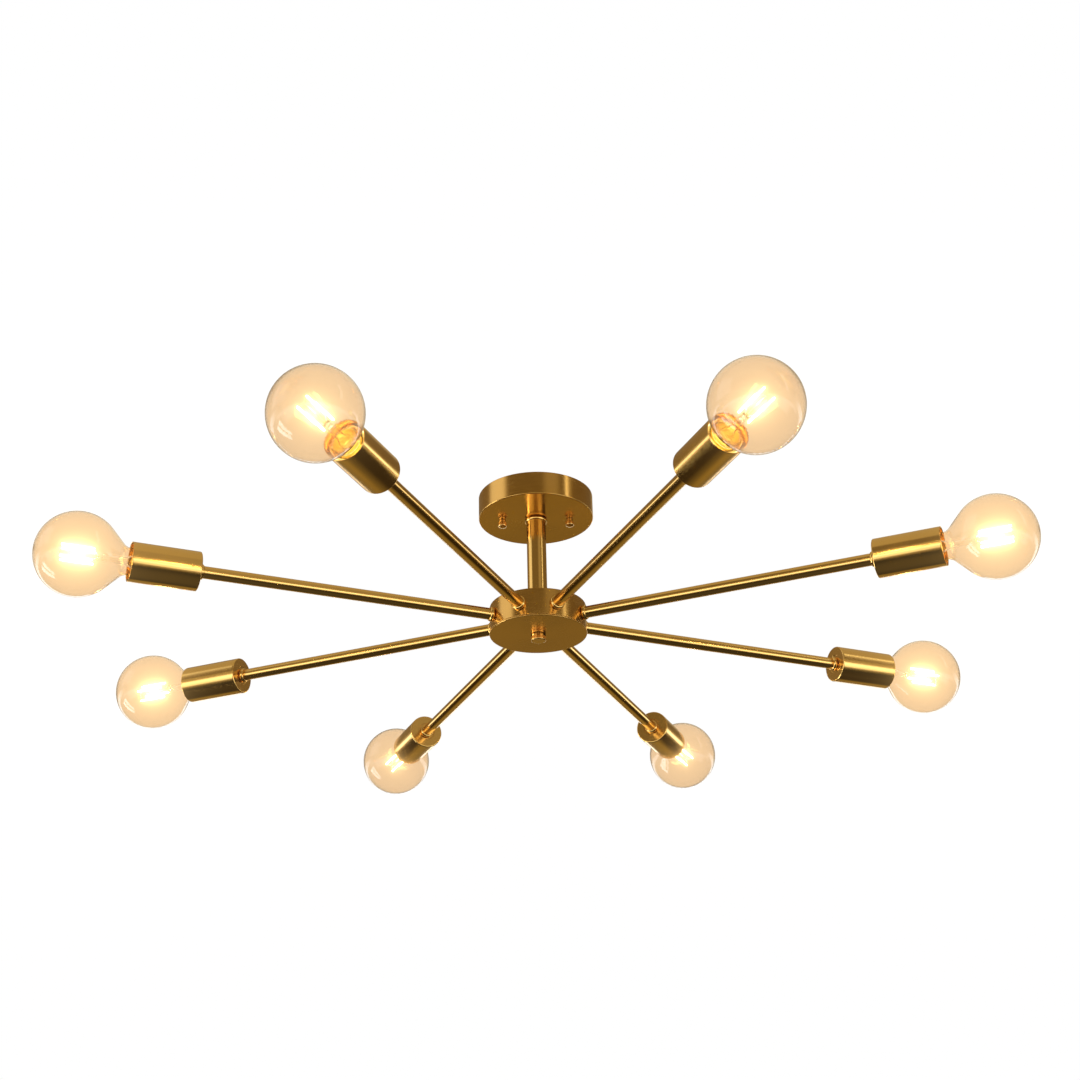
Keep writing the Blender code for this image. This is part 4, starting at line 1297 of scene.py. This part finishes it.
def aim_camera(settings):
    """Put the camera below and in front of the light, looking up at it."""
    tilt, roll = settings.elevation, settings.roll
    forward = Vector((0, math.cos(tilt), math.sin(tilt)))
    right = Vector((1, 0, 0))
    up = right.cross(forward)
    rolled_right = math.cos(roll) * right + math.sin(roll) * up
    rolled_up = math.cos(roll) * up - math.sin(roll) * right
    place = Vector((0, 0, ARM_HEIGHT)) + Vector(settings.aim) - settings.distance * forward
    view = Matrix((rolled_right, rolled_up, -forward)).transposed().to_4x4()
    camera = added(bpy.ops.object.camera_add)
    camera.name = "studio_camera"
    camera.data.lens = settings.lens
    camera.data.sensor_width = 36
    camera.matrix_world = Matrix.Rotation(settings.turn, 4, "Z") @ Matrix.Translation(place) @ view
    bpy.context.scene.camera = camera


class CEILINGLIGHT_OT_stage(bpy.types.Operator):
    """Set up the floor, the light and the camera"""
    bl_idname = "ceilinglight.stage"
    bl_label = "Studio"

    def execute(self, context):
        """Add what stands round the light."""
        settings = context.scene.light_studio
        scene = context.scene
        scene.view_settings.view_transform = "Standard"
        if scene.world is None:
            scene.world = bpy.data.worlds.new("studio")
        light_room(scene.world, settings)
        pale_floor(settings)
        bulb_lights(scene.light_bulb)
        aim_camera(settings)
        bloom(scene, settings)
        return {"FINISHED"}


class CEILINGLIGHT_PT_sidebar(bpy.types.Panel):
    """List the light's pieces and settings"""
    bl_idname = "CEILINGLIGHT_PT_sidebar"
    bl_label = "Ceiling Light"
    bl_space_type = "VIEW_3D"
    bl_region_type = "UI"
    bl_category = "Ceiling Light"

    def draw(self, context):
        """Draw a button for each operator, then every setting."""
        for operator in OPERATORS:
            self.layout.operator(operator.bl_idname)
        for group in SETTINGS:
            box = self.layout.box()
            values = getattr(context.scene, group)
            for prop in values.bl_rna.properties:
                if prop.identifier not in ("rna_type", "name"):
                    box.prop(values, prop.identifier)


OPERATORS = (CEILINGLIGHT_OT_canopy, CEILINGLIGHT_OT_hub, CEILINGLIGHT_OT_arms,
             CEILINGLIGHT_OT_lampholders, CEILINGLIGHT_OT_bulbs, CEILINGLIGHT_OT_wiring,
             CEILINGLIGHT_OT_stage)
SETTINGS = {"light_brass": BrassSettings, "light_bulb": BulbSettings,
            "light_hardware": HardwareSettings, "light_studio": StudioSettings}


def register():
    """Register the settings, the operators and the panel."""
    for name, group in SETTINGS.items():
        bpy.utils.register_class(group)
        setattr(bpy.types.Scene, name, PointerProperty(type=group))
    for operator in OPERATORS:
        bpy.utils.register_class(operator)
    bpy.utils.register_class(CEILINGLIGHT_PT_sidebar)


def unregister():
    """Take back what register added."""
    bpy.utils.unregister_class(CEILINGLIGHT_PT_sidebar)
    for operator in reversed(OPERATORS):
        bpy.utils.unregister_class(operator)
    for name, group in SETTINGS.items():
        delattr(bpy.types.Scene, name)
        bpy.utils.unregister_class(group)


def main():
    """Build the light piece by piece."""
    register()
    for operator in OPERATORS:
        getattr(bpy.ops.ceilinglight, operator.bl_idname.split(".")[1])()


if __name__ == "__main__":
    main()
